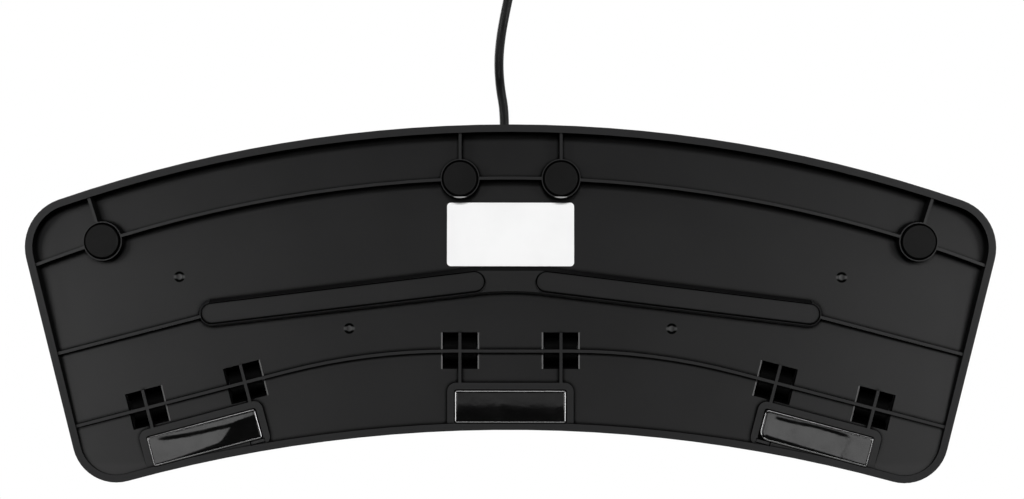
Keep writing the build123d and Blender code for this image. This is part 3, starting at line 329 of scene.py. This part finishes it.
def pocket_shade(shader, z):
    """1 in the pocket round each front pad, above the ends of the frame round it, where shade is painted."""
    pads = ((MIDDLE_PAD, 0, MIDDLE_PAD_SIZE), (SIDE_PAD, -PAD_TURN, SIDE_PAD_SIZE))
    inside = []
    for place, turn, sides in pads:
        inside.append(shader.within(*place, turn, *(side + 2 * POCKET_GAP for side in sides)))
    return shader.product(shader.largest(*inside), shader.over(z, RIB_END_Z, 0.15 * MM))


def from_feet(shader):
    return shader.math("MINIMUM", shader.around(*INNER_FOOT), shader.around(*OUTER_FOOT))


def boss_glint(shader):
    """1 on a short arc at the front of the inner feet's bosses, where a glint is painted."""
    aside, ahead = shader.beside(*INNER_FOOT)
    offset = shader.size(shader.math("ADD", ahead, FOOT_BOSS_RADIUS))
    return shader.product(shader.under(shader.size(aside), 1.7 * MM, 0.9 * MM),
                          shader.under(offset, 0.3 * MM, BLUR))


def housing_plastic():
    """Black moulding: a matt floor, paler rib ends and rim, painted highlights on the window edges, painted
    shade in the hollows and a painted glint on the inner feet's bosses.
    """
    shader = Shader("housing_plastic", FLOOR_COLOR, HOUSING_ROUGHNESS, Specular_IOR_Level=HOUSING_GLOSS)
    z = shader.axis(shader.place, "Z")
    down = shader.facing_down(0.9)
    outer = outer_walls(shader)
    rib_end = shader.product(shader.under(z, RIB_END_Z, 0.15 * MM), down)
    rim = shader.product(shader.under(z, RIM_Z + 0.2 * MM, BLUR), down)
    patches = shader.spread(shader.noise(PATCH_SIZE, 3.0), *CRISP, 0, 1)
    color = shader.blend(patches, [PATCH_SHARE * c for c in FLOOR_COLOR], FLOOR_COLOR)
    color = shader.blend(rim, shader.blend(rib_end, color, RIB_COLOR), RIM_COLOR)
    # Painted highlight on the windows' sideways-facing edges
    color = shader.blend(window_edge_highlights(shader), color, EDGE_HIGHLIGHT)
    color, dimple_shade = dimples(shader, color, down)
    # Painted shade in the cup round each foot, inside its boss
    cup_shade = shader.under(from_feet(shader), FOOT_CUP_RADIUS, BLUR)
    # Painted shade: black on the rear-facing inner walls, along each plateau's groove, beside walls and ribs,
    # in the dimples' rings, round the front pads and in the cup round each foot
    painted_shade = shader.largest(rear_wall_shade(shader, outer), groove_shade(shader), crease_shade(shader, down), dimple_shade,
                          pocket_shade(shader, z), cup_shade)
    color = shader.blend(painted_shade, color, SHADED)
    # Painted glint on the front of the inner feet's bosses
    shader.color(shader.blend(shader.product(boss_glint(shader), rib_end), color, GLINT))
    gloss = shader.product(shader.largest(shader.facing_down(0.97, 0.07), outer), HOUSING_GLOSS)
    gloss = shader.product(gloss, shader.spread(rim, 0, 1, 1, RIM_GLOSS_SHARE), shader.under(painted_shade, 0, 1))
    shader.gloss(gloss)
    shader.bump(shader.noise(GRAIN_SIZE, 1.0), GRAIN_DEPTH)
    return shader


# Other plastics and rubbers

BLACK_PLASTIC, GREY_BLACK_PLASTIC = (0.016, 0.016, 0.0165), (0.02, 0.02, 0.02)
COVER_COLORS = ((0.014, 0.014, 0.0145), (0.018, 0.018, 0.0185))
COVER_ROUGHNESS, COVER_GLOSS = 0.5, 0.35
COVER_GRAIN = (0.35 * MM, 0.02 * MM)
FOOT_GLOSS, FOOT_EDGE_GLOSS = 0.1, 0.01
# Near-black painted shade inside the pedals, and the gloss there
INNER_PEDAL_SHADE, INNER_PEDAL_GLOSS = grey(0.0015), 0.02


def cover_plastic(name):
    return mottled(name, *COVER_COLORS, COVER_ROUGHNESS, *COVER_GRAIN, Specular_IOR_Level=COVER_GLOSS)


def foot_rubber():
    """Matt rubber whose chamfered rim is painted black, as shade."""
    shader = mottled("foot_rubber", grey(0.005), grey(0.006), 0.42, 0.4 * MM, 0.01 * MM,
                     Specular_IOR_Level=FOOT_GLOSS)
    face = shader.surface.inputs["Base Color"].links[0].from_socket
    # Painted shade on each foot's chamfered rim
    edge = shader.over(from_feet(shader), FOOT_FACE_RADIUS, 0.15 * MM)
    shader.color(shader.blend(edge, face, SHADED))
    return shader.gloss(shader.spread(edge, 0, 1, FOOT_GLOSS, FOOT_EDGE_GLOSS))


def pedal_plastic():
    """The cover's plastic outside, and near-black painted shade below the deck and on faces that point down,
    where the pedal shows in the windows.
    """
    shader = cover_plastic("pedal_plastic")
    outside = shader.surface.inputs["Base Color"].links[0].from_socket
    below_deck = shader.under(shader.above(DECK_Z, DECK_RISE), -3 * MM, 1 * MM)
    inside = shader.largest(below_deck, shader.facing_down(0.4, 0.2))
    # Painted shade inside the pedal
    shader.color(shader.blend(inside, outside, INNER_PEDAL_SHADE))
    return shader.gloss(shader.spread(inside, 0, 1, COVER_GLOSS, INNER_PEDAL_GLOSS))


def cord_jacket():
    return mottled("cord_jacket", (0.006, 0.006, 0.0062), (0.008, 0.008, 0.0083), 0.42, 0.6 * MM, 0.01 * MM,
                   Specular_IOR_Level=0.12)


def assign(shader, *names):
    for name in names:
        mesh = frame["nodes"][name].data
        mesh.materials.clear()
        mesh.materials.append(shader.material)


def each(prefix, ends=SIDES):
    return [f"{prefix}_{end}" for end in ends]


def dress_nodes():
    assign(housing_plastic(), "base_plate")
    assign(cover_plastic("cover_plastic"), "top_cover", "cord_clamp")
    assign(pedal_plastic(), *each("pedal"))
    assign(mottled("grip_rubber", (0.020, 0.020, 0.021), (0.027, 0.027, 0.028), 0.72, 0.5 * MM, 0.02 * MM,
                   Specular_IOR_Level=0.3), *each("grip"))
    assign(mottled("pad_rubber", grey(0.009), grey(0.012), 0.16, 6 * MM, 0.05 * MM,
                   Specular_IOR_Level=0.5), *each("front_pad"))
    assign(foot_rubber(), *each("round_foot", FEET))
    assign(mottled("grommet_rubber", grey(0.008), grey(0.010), 0.62, 0.4 * MM, 0.01 * MM,
                   Specular_IOR_Level=0.12), "cord_grommet")
    assign(mottled("label_film", grey(0.90), grey(0.93), 0.42, 0.6 * MM, 0.004 * MM,
                   Specular_IOR_Level=0.3), "blank_label")
    assign(metal("screw_steel", (0.55, 0.55, 0.56), 0.34, 0.6 * MM),
           "cover_screws", "board_screws", "clamp_screws")
    assign(metal("pin_steel", (0.05, 0.05, 0.052), 0.4, 0.4 * MM, (0.05, 1, 1)), *each("hinge_pin"))
    assign(metal("spring_steel", (0.52, 0.52, 0.54), 0.3, 0.3 * MM), *each("return_spring"))
    assign(mottled("switch_plastic", BLACK_PLASTIC, GREY_BLACK_PLASTIC, 0.42, 0.3 * MM, 0.01 * MM),
           *each("switch_base"), *each("switch_cover"))
    assign(mottled("stem_plastic", (0.16, 0.055, 0.02), (0.19, 0.065, 0.024), 0.4, 0.3 * MM, 0.005 * MM),
           *each("switch_stem"))
    assign(mottled("board_laminate", (0.006, 0.055, 0.016), (0.008, 0.07, 0.02), 0.3, 0.5 * MM, 0.01 * MM),
           *each("switch_board"), "controller_board")
    assign(mottled("chip_black", grey(0.008), grey(0.012), 0.5, 0.2 * MM, 0.01 * MM), "controller_chip")
    assign(metal("crystal_can", (0.72, 0.72, 0.71), 0.22, 0.5 * MM), "crystal")
    assign(mottled("connector_plastic", (0.66, 0.62, 0.52), (0.70, 0.66, 0.56), 0.45, 0.4 * MM, 0.005 * MM),
           "board_connectors")
    assign(mottled("lead_insulation", (0.10, 0.006, 0.006), (0.13, 0.008, 0.008), 0.4, 0.5 * MM, 0.02 * MM),
           *each("switch_leads"))
    assign(mottled("core_insulation", (0.07, 0.07, 0.075), (0.09, 0.09, 0.095), 0.4, 0.5 * MM, 0.02 * MM),
           "cord_cores")
    assign(cord_jacket(), "cord_inside")
    assign(mottled("tie_plastic", BLACK_PLASTIC, GREY_BLACK_PLASTIC, 0.3, 0.5 * MM, 0.005 * MM), "cord_tie")
    assign(mottled("plug_plastic", (0.013, 0.013, 0.0135), BLACK_PLASTIC, 0.45, 0.3 * MM, 0.012 * MM),
           "plug_body")
    assign(metal("plug_nickel", (0.74, 0.73, 0.70), 0.18, 0.8 * MM, (0.1, 1, 1)), "plug_shell")
    assign(mottled("insert_plastic", (0.80, 0.80, 0.78), (0.84, 0.84, 0.82), 0.4, 0.4 * MM, 0.003 * MM),
           "plug_insert")
    assign(metal("contact_gold", (0.83, 0.60, 0.22), 0.24, 0.5 * MM), "plug_contacts")


def soften(name, width=0.15 * MM, angle=35, segments=2, weld_gap=0.002 * MM):
    """Rounds the sharp edges of a moulding a little, as a mould does."""
    obj = frame["nodes"][name]
    mesh = obj.data
    if "custom_normal" in mesh.attributes:
        mesh.attributes.remove(mesh.attributes["custom_normal"])
    mesh.shade_smooth()
    weld = obj.modifiers.new("weld", "WELD")
    weld.merge_threshold = weld_gap
    bevel = obj.modifiers.new("edges", "BEVEL")
    bevel.width = width
    bevel.segments = segments
    bevel.limit_method = "ANGLE"
    bevel.angle_limit = math.radians(angle)
    bevel.harden_normals = True
    obj.modifiers.new("normals", "WEIGHTED_NORMAL").keep_sharp = True


# Cord


CORD_DIAMETER = 3.2 * MM
CORD_ROUTE = [
    (0.0022, 0.0610, 0.0165),
    (0.0022, 0.0666, 0.0165),
    (0.0036, 0.0740, 0.0149),
    (0.0042, 0.0820, 0.0096),
    (0.0036, 0.0895, 0.0043),
    (0.0023, 0.0970, 0.00162),
    (0.0005, 0.1055, 0.00162),
    (-0.0017, 0.1155, 0.00162),
    (-0.0039, 0.1255, 0.0020),
    (-0.0061, 0.1350, 0.0024),
    (-0.0082, 0.1440, 0.0024),
]
COIL_RADIUS = 25.7 * MM  # of the outermost turn
COIL_STEP = 3.7 * MM  # from turn to turn and from layer to layer
COIL_HALF_TURNS = (7, 7, 5, 5)  # in each layer, from the lowest up
COIL_SWING = 0.8 * MM  # how much farther the cord moves sideways where it changes layers
POINTS_PER_HALF_TURN = 8
TAIL_SLOPE = 5.6  # the tail's run for each metre that it comes down
TAIL_RUN_SHARES = (0.2, 0.52, 0.82, 1)
TAIL_DROP_SHARES = (0, 0.5, 1, 1)
PLUG_AXIS_Z = 4.0 * MM


def coil_distances():
    """Distances from the coil's middle at which each layer crosses its own x axis."""
    layers = []
    steps = 0
    for layer, half_turns in enumerate(COIL_HALF_TURNS):
        inwards = 1 if layer % 2 == 0 else -1
        counts = [steps + inwards * i for i in range(half_turns + 1)]
        steps = counts[-1]
        distances = [COIL_RADIUS - count * COIL_STEP / 2 for count in counts]
        if layer > 0:
            distances[0] += inwards * COIL_SWING
        if layer < len(COIL_HALF_TURNS) - 1:
            distances[-1] -= inwards * COIL_SWING
        layers.append(distances)
    return layers


def arc_points(middle, radius, side, z, climb=0.0, turn=math.pi):
    """Control points round an arc that starts on the x axis, at side, and goes off along side times +Y."""
    count = max(2, round(POINTS_PER_HALF_TURN * turn / math.pi))
    between = turn / count
    outer = radius / math.cos(between / 2)
    points = []
    for i in range(count):
        angle = (i + 0.5) * between
        x = side * (middle + outer * math.cos(angle))
        points.append(Vector((x, side * outer * math.sin(angle), z + climb * (1 - math.cos(angle)) / 2)))
    return points


def coil_points():
    """Control points of the coil and its straight end in the coil's own frame, and the end's direction."""
    points = [Vector((COIL_RADIUS, 0, 0))]
    side = 1
    for layer, distances in enumerate(coil_distances()):
        if layer > 0:
            points += arc_points(0, distances[0], side, (layer - 1) * COIL_STEP, COIL_STEP)
            side = -side
        for near, far in zip(distances, distances[1:]):
            points += arc_points((near - far) / 2, (near + far) / 2, side, layer * COIL_STEP)
            side = -side
    near, far = distances[-1], distances[-1] + COIL_STEP / 4
    radius = (near**2 + far**2) / (2 * near)
    turn = math.atan2(far, radius - near)
    points += arc_points(near - radius, radius, side, layer * COIL_STEP, turn=turn)
    way = Vector((-side * math.sin(turn), side * math.cos(turn), 0))
    points.append(Vector((0, side * far, layer * COIL_STEP)) + way * CORD_DIAMETER)
    return points, way


def cord_points():
    start, before = Vector(CORD_ROUTE[-1]), Vector(CORD_ROUTE[-2])
    way = (start - before).normalized()
    across = Vector((way.y, -way.x, 0)).normalized()
    centre = start - across * COIL_RADIUS + way * CORD_DIAMETER
    placed = Matrix.Translation(centre) @ Matrix.Rotation(math.atan2(across.y, across.x), 4, "Z")
    coil, end_way = coil_points()
    points = [Vector(point) for point in CORD_ROUTE] + [placed @ point for point in coil]
    end_way = placed.to_3x3() @ end_way
    end = points[-1]
    drop = end.z - PLUG_AXIS_Z
    for run, fall in zip(TAIL_RUN_SHARES, TAIL_DROP_SHARES):
        points.append(end + end_way * TAIL_SLOPE * drop * run - Vector((0, 0, drop * fall)))
    return points


def cord():
    curve = bpy.data.curves.new("cord_line", "CURVE")
    curve.dimensions = "3D"
    points = cord_points()
    spline = curve.splines.new("NURBS")
    spline.points.add(len(points) - 1)
    for target, point in zip(spline.points, points):
        target.co = (*point, 1)
    spline.order_u = 3
    spline.use_endpoint_u = True
    spline.resolution_u = 6
    curve.bevel_depth = CORD_DIAMETER / 2
    curve.bevel_resolution = 5
    curve.use_fill_caps = True
    curve.materials.append(frame["nodes"]["cord_inside"].data.materials[0])
    obj = bpy.data.objects.new("cord_line", curve)
    bpy.context.collection.objects.link(obj)
    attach(obj, "housing")
    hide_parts("cord", "cord_coil", "cord_tail")


# Films of the front pads

FILM_INSET = 0.25 * MM
FILM_EDGE = 0.45 * MM  # width of its rounded edge
FILM_TOP_Z = 1.9 * MM
FILM_CELL = 0.4 * MM
EDGE_SHARES = (0, 0.04, 0.13, 0.28, 0.5, 0.75, 1)  # where points lie across the rounded edge
EDGE_SLOPE, EDGE_CURVE = 0.4, 0.15
FOLD_TILT, RIGHT_SLACK_TILT, LEFT_BAND_TILT = 0.12, 0.09, 0.15
MIDDLE_TILT, MIDDLE_WAVE = 0.07, 0.004
SHARP_ANGLE = math.radians(60)


def step(value, start, end):
    """0 before start, 1 after end, and a smooth change between."""
    t = min(max((value - start) / (end - start), 0), 1)
    return t * t * (3 - 2 * t)


def hump(value, middle, half):
    return step(value, middle - half, middle) * (1 - step(value, middle, middle + half))


def slope_right(s, t):
    """Tilt of the right pad's film, at shares s from its outer end and t from its rear edge."""
    crease = 0.34 - 0.27 * math.exp(-3.2 * s)
    fold = hump(t, crease, 0.11) * step(s, 0.02, 0.2)
    slack_start = 0.95 - 0.32 * s - 0.5 * step(s, 0.6, 0.85)
    slack = step(t, slack_start, slack_start + 0.08)
    return FOLD_TILT * fold + RIGHT_SLACK_TILT * slack


def slope_left(s, t):
    """Tilt of the left pad's film, at shares s from its inner end and t from its rear edge."""
    crease = 0.15 + 0.03 * math.sin(9 * s)
    fold = hump(t, crease, 0.1) * step(s, 0.05, 0.15) * (1 - step(s, 0.7, 0.85))
    band_start = 0.8 + 0.12 * s
    band = step(t, band_start, band_start + 0.07) * step(s, 0.02, 0.08)
    return FOLD_TILT * fold + LEFT_BAND_TILT * band


def slope_middle(s, t):
    """Tilt of the middle pad's film, at shares s from its right end and t from its rear edge."""
    return MIDDLE_TILT * step(t, 0.3, 0.75) + MIDDLE_WAVE * math.sin(5 * s)


def film_coordinates(half):
    """Places across a film from edge to edge, closer together where its edge is rounded."""
    near = [FILM_EDGE * share for share in EDGE_SHARES]
    count = max(8, round(2 * (half - FILM_EDGE) / FILM_CELL))
    inner = [FILM_EDGE + (2 * half - 2 * FILM_EDGE) * i / count for i in range(1, count)]
    return [value - half for value in near + inner + [2 * half - value for value in reversed(near)]]


def film_relief(columns, rows, half_x, half_y, slope):
    """Heights of the film at each column and row, from its tilt along the rows; 0 at the rear edge."""
    relief = []
    for x in columns:
        heights = [0.0]
        for lower, upper in zip(rows, rows[1:]):
            tilt = slope((half_x - x) / (2 * half_x), (half_y - (lower + upper) / 2) / (2 * half_y))
            heights.append(heights[-1] - tilt * (upper - lower))
        relief.append([height - heights[-1] for height in heights])
    return relief


def film_point(x, y, height, half_x, half_y, corner):
    """Point of the film at x and y, drawn in to its round corner and raised where its edge is rounded."""
    dx, dy = abs(x) - (half_x - corner), abs(y) - (half_y - corner)
    if dx > 0 and dy > 0:
        squeeze = max(dx, dy) / math.hypot(dx, dy)
        x_out, y_out = half_x - corner + dx * squeeze, half_y - corner + dy * squeeze
        from_edge = corner - max(dx, dy)
    else:
        x_out, y_out = abs(x), abs(y)
        from_edge = min(half_x - x_out, half_y - y_out)
    inward = max(FILM_EDGE - from_edge, 0)
    raised = EDGE_SLOPE * inward + EDGE_CURVE * inward**2 / FILM_EDGE
    return Vector((math.copysign(x_out, x), math.copysign(y_out, y), height + raised))


def film_rim(across, count):
    """Indices of the film's edge points, in order round it, where count columns hold across points each."""
    last = (count - 1) * across
    rim = list(range(across))
    rim += [i * across + across - 1 for i in range(1, count)]
    rim += [last + j for j in range(across - 2, -1, -1)]
    rim += [i * across for i in range(count - 2, 0, -1)]
    return rim


def film(name, node, place, turn, width, length, slope, corners):
    """Glossy film over a rubber pad; corners are its radii at (-x, -y), (x, -y), (x, y) and (-x, y)."""
    half_x, half_y = width / 2 - FILM_INSET, length / 2 - FILM_INSET
    columns, rows = film_coordinates(half_x), film_coordinates(half_y)
    points = []
    for x, heights in zip(columns, film_relief(columns, rows, half_x, half_y, slope)):
        for y, height in zip(rows, heights):
            corner = corners[(0 if y < 0 else 3) if x < 0 else (1 if y < 0 else 2)]
            points.append(film_point(x, y, height, half_x, half_y, corner))
    lowest = min(point.z for point in points)
    for point in points:
        point.z -= lowest
    across = len(rows)
    faces = []
    for i in range(len(columns) - 1):
        for j in range(across - 1):
            a = i * across + j
            faces.append((a, a + 1, a + across + 1, a + across))
    rim = film_rim(across, len(columns))
    top = len(points)
    points += [Vector((points[i].x, points[i].y, FILM_TOP_Z)) for i in rim]
    for k in range(len(rim)):
        following = (k + 1) % len(rim)
        faces.append((rim[k], top + k, top + following, rim[following]))
    faces.append(tuple(range(top, len(points))))
    placed = Matrix.Translation((*place, 0)) @ Matrix.Rotation(turn, 4, "Z")
    mesh = bpy.data.meshes.new(name)
    mesh.from_pydata([placed @ point for point in points], [], faces)
    mesh.shade_smooth()
    mesh.set_sharp_from_angle(angle=SHARP_ANGLE)
    mesh.materials.append(bpy.data.materials["pad_film"])
    obj = bpy.data.objects.new(name, mesh)
    bpy.context.collection.objects.link(obj)
    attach(obj, "housing")
    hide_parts(node)


def films():
    shader = Shader("pad_film", grey(0.003), 0.1, Specular_IOR_Level=1.0)
    shader.rough(shader.spread(shader.noise(5 * MM), *SOFT, 0.09, 0.15))
    shader.bump(shader.noise(3 * MM, 2.0), 0.04 * MM)
    small, middling, large = 0.8 * MM, 1.2 * MM, 3.2 * MM
    square = (small, small, small, small)
    x, y = SIDE_PAD
    film("film_right", "front_pad_right", (x, y), -PAD_TURN, *SIDE_PAD_SIZE, slope_right, square)
    film("film_left", "front_pad_left", (-x, y), PAD_TURN, *SIDE_PAD_SIZE, slope_left,
         (small, large, middling, small))
    film("film_middle", "front_pad_middle", MIDDLE_PAD, 0, *MIDDLE_PAD_SIZE, slope_middle, square)


# Camera, floor and light


CAMERA_DISTANCE, CAMERA_ROLL = 0.85, -0.00095
CAMERA_X, CAMERA_Y = -0.0005, 0.01845
LENS_PER_METRE = 103.4  # focal length in millimetres that keeps the object's size in the picture


def camera():
    data = bpy.data.cameras.new("camera")
    data.lens = LENS_PER_METRE * CAMERA_DISTANCE
    obj = bpy.data.objects.new("camera", data)
    obj.location = (CAMERA_X, CAMERA_Y, RIM_Z - CAMERA_DISTANCE)
    obj.rotation_euler = (0, math.pi, CAMERA_ROLL)
    bpy.context.collection.objects.link(obj)
    bpy.context.scene.camera = obj


def square_sheet(name, half, z):
    """Level square of the stage that only the camera and reflections meet, and its material's nodes."""
    mesh = bpy.data.meshes.new(name)
    corners = [(-half, -half, z), (half, -half, z), (half, half, z), (-half, half, z)]
    mesh.from_pydata(corners, [], [(0, 1, 2, 3)])
    obj = bpy.data.objects.new(name, mesh)
    bpy.context.collection.objects.link(obj)
    obj.visible_diffuse = False
    obj.visible_transmission = False
    obj.visible_shadow = False
    paint = bpy.data.materials.new(f"{name}_paint")
    paint.use_nodes = True
    mesh.materials.append(paint)
    return obj, paint.node_tree


def floor():
    """Pale floor that shows from above only, so that the lamps below reach the object's underside."""
    obj, tree = square_sheet("floor", half=3.0, z=0)
    surface = tree.nodes["Principled BSDF"]
    surface.inputs["Base Color"].default_value = (0.86, 0.86, 0.85, 1)
    surface.inputs["Roughness"].default_value = 0.7
    surface.inputs["Specular IOR Level"].default_value = 0.2
    clear = tree.nodes.new("ShaderNodeBsdfTransparent")
    side = tree.nodes.new("ShaderNodeNewGeometry")
    mix = tree.nodes.new("ShaderNodeMixShader")
    tree.links.new(side.outputs["Backfacing"], mix.inputs["Fac"])
    tree.links.new(surface.outputs[0], mix.inputs[1])
    tree.links.new(clear.outputs[0], mix.inputs[2])
    tree.links.new(mix.outputs[0], tree.nodes["Material Output"].inputs["Surface"])
    obj.visible_glossy = False


def world():
    """White for the camera and for reflections, and a faint fill light for everything else."""
    fill = 0.02
    made = bpy.data.worlds.new("studio")
    bpy.context.scene.world = made
    made.use_nodes = True
    tree = made.node_tree
    shown = tree.nodes["Background"]
    shown.inputs["Color"].default_value = (1, 1, 1, 1)
    shown.inputs["Strength"].default_value = 1.0
    ambient = tree.nodes.new("ShaderNodeBackground")
    ambient.inputs["Color"].default_value = (1, 1, 1, 1)
    ambient.inputs["Strength"].default_value = fill
    path = tree.nodes.new("ShaderNodeLightPath")
    either = path.outputs["Is Camera Ray"]
    for kind in ("Is Glossy Ray", "Is Transmission Ray"):
        largest = tree.nodes.new("ShaderNodeMath")
        largest.operation = "MAXIMUM"
        tree.links.new(either, largest.inputs[0])
        tree.links.new(path.outputs[kind], largest.inputs[1])
        either = largest.outputs[0]
    mix = tree.nodes.new("ShaderNodeMixShader")
    tree.links.new(either, mix.inputs["Fac"])
    tree.links.new(ambient.outputs[0], mix.inputs[1])
    tree.links.new(shown.outputs[0], mix.inputs[2])
    tree.links.new(mix.outputs[0], tree.nodes["World Output"].inputs["Surface"])


def lamp(name, place, target, size, radiance, seen):
    """Rectangular lamp of even brightness, aimed at target, that lights only what seen names."""
    data = bpy.data.lights.new(name, "AREA")
    data.shape = "RECTANGLE"
    data.size, data.size_y = size
    data.energy = radiance * math.pi * size[0] * size[1]
    obj = bpy.data.objects.new(name, data)
    obj.location = place
    obj.rotation_euler = (Vector(target) - Vector(place)).to_track_quat("-Z", "Y").to_euler()
    obj.visible_camera = False
    obj.visible_diffuse = "diffuse" in seen
    obj.visible_glossy = "glossy" in seen
    bpy.context.collection.objects.link(obj)


def flag():
    """Black card far below the object, so that its underside mirrors the lamps and nothing else."""
    obj, tree = square_sheet("flag", half=2.0, z=-1.4)
    surface = tree.nodes["Principled BSDF"]
    surface.inputs["Base Color"].default_value = (0, 0, 0, 1)
    surface.inputs["Specular IOR Level"].default_value = 0
    obj.visible_camera = False


AIM = (0, 0.01, 0)
MATT, SHINY = ("diffuse",), ("glossy",)
# Name, place, target, size, radiance and the looks that it lights
LAMPS = (
    ("key_below", (0, 0.32, -1.25), AIM, (0.14, 0.14), 268.0, MATT),
    ("soft_below_right", (0.32, -0.138, -1.2), (0.32, -0.138, 0), (0.3, 0.19), 1.15, SHINY),
    ("soft_below_left", (-0.32, -0.138, -1.2), (-0.32, -0.138, 0), (0.3, 0.19), 1.15, SHINY),
    ("soft_below_middle", (0, -0.05, -1.2), (0, -0.05, 0), (0.2, 0.2), 0.3, SHINY),
    ("strip_below_right", (0.8, -0.05, -0.5), AIM, (0.8, 0.15), 14.0, SHINY),
    ("strip_below_left", (-0.8, -0.05, -0.5), AIM, (0.8, 0.15), 14.0, SHINY),
    ("strip_below_rear", (0, 0.8, -0.5), AIM, (1.0, 0.12), 6.0, SHINY),
    ("strip_below_front", (0, -0.8, -0.5), AIM, (0.6, 0.1), 9.0, SHINY),
    ("sheen_below_right", (0.6, 0.15, -1.2), AIM, (0.4, 0.4), 4.5, SHINY),
    ("sheen_below_left", (-0.6, 0.15, -1.2), AIM, (0.4, 0.4), 4.5, SHINY),
    ("key_above", (-0.5, -0.6, 0.9), AIM, (0.5, 0.5), 13.0, MATT + SHINY),
    ("fill_above", (0.7, 0.2, 0.8), AIM, (0.6, 0.6), 4.0, MATT + SHINY),
    ("rear_above", (0.1, 0.9, 0.6), AIM, (0.5, 0.5), 4.0, MATT + SHINY),
)


camera()
bpy.context.scene.view_settings.view_transform = "Standard"
dress_nodes()
cord()
films()
for node in ("base_plate", "top_cover"):
    soften(node)
floor()
world()
flag()
for row in LAMPS:
    lamp(*row)
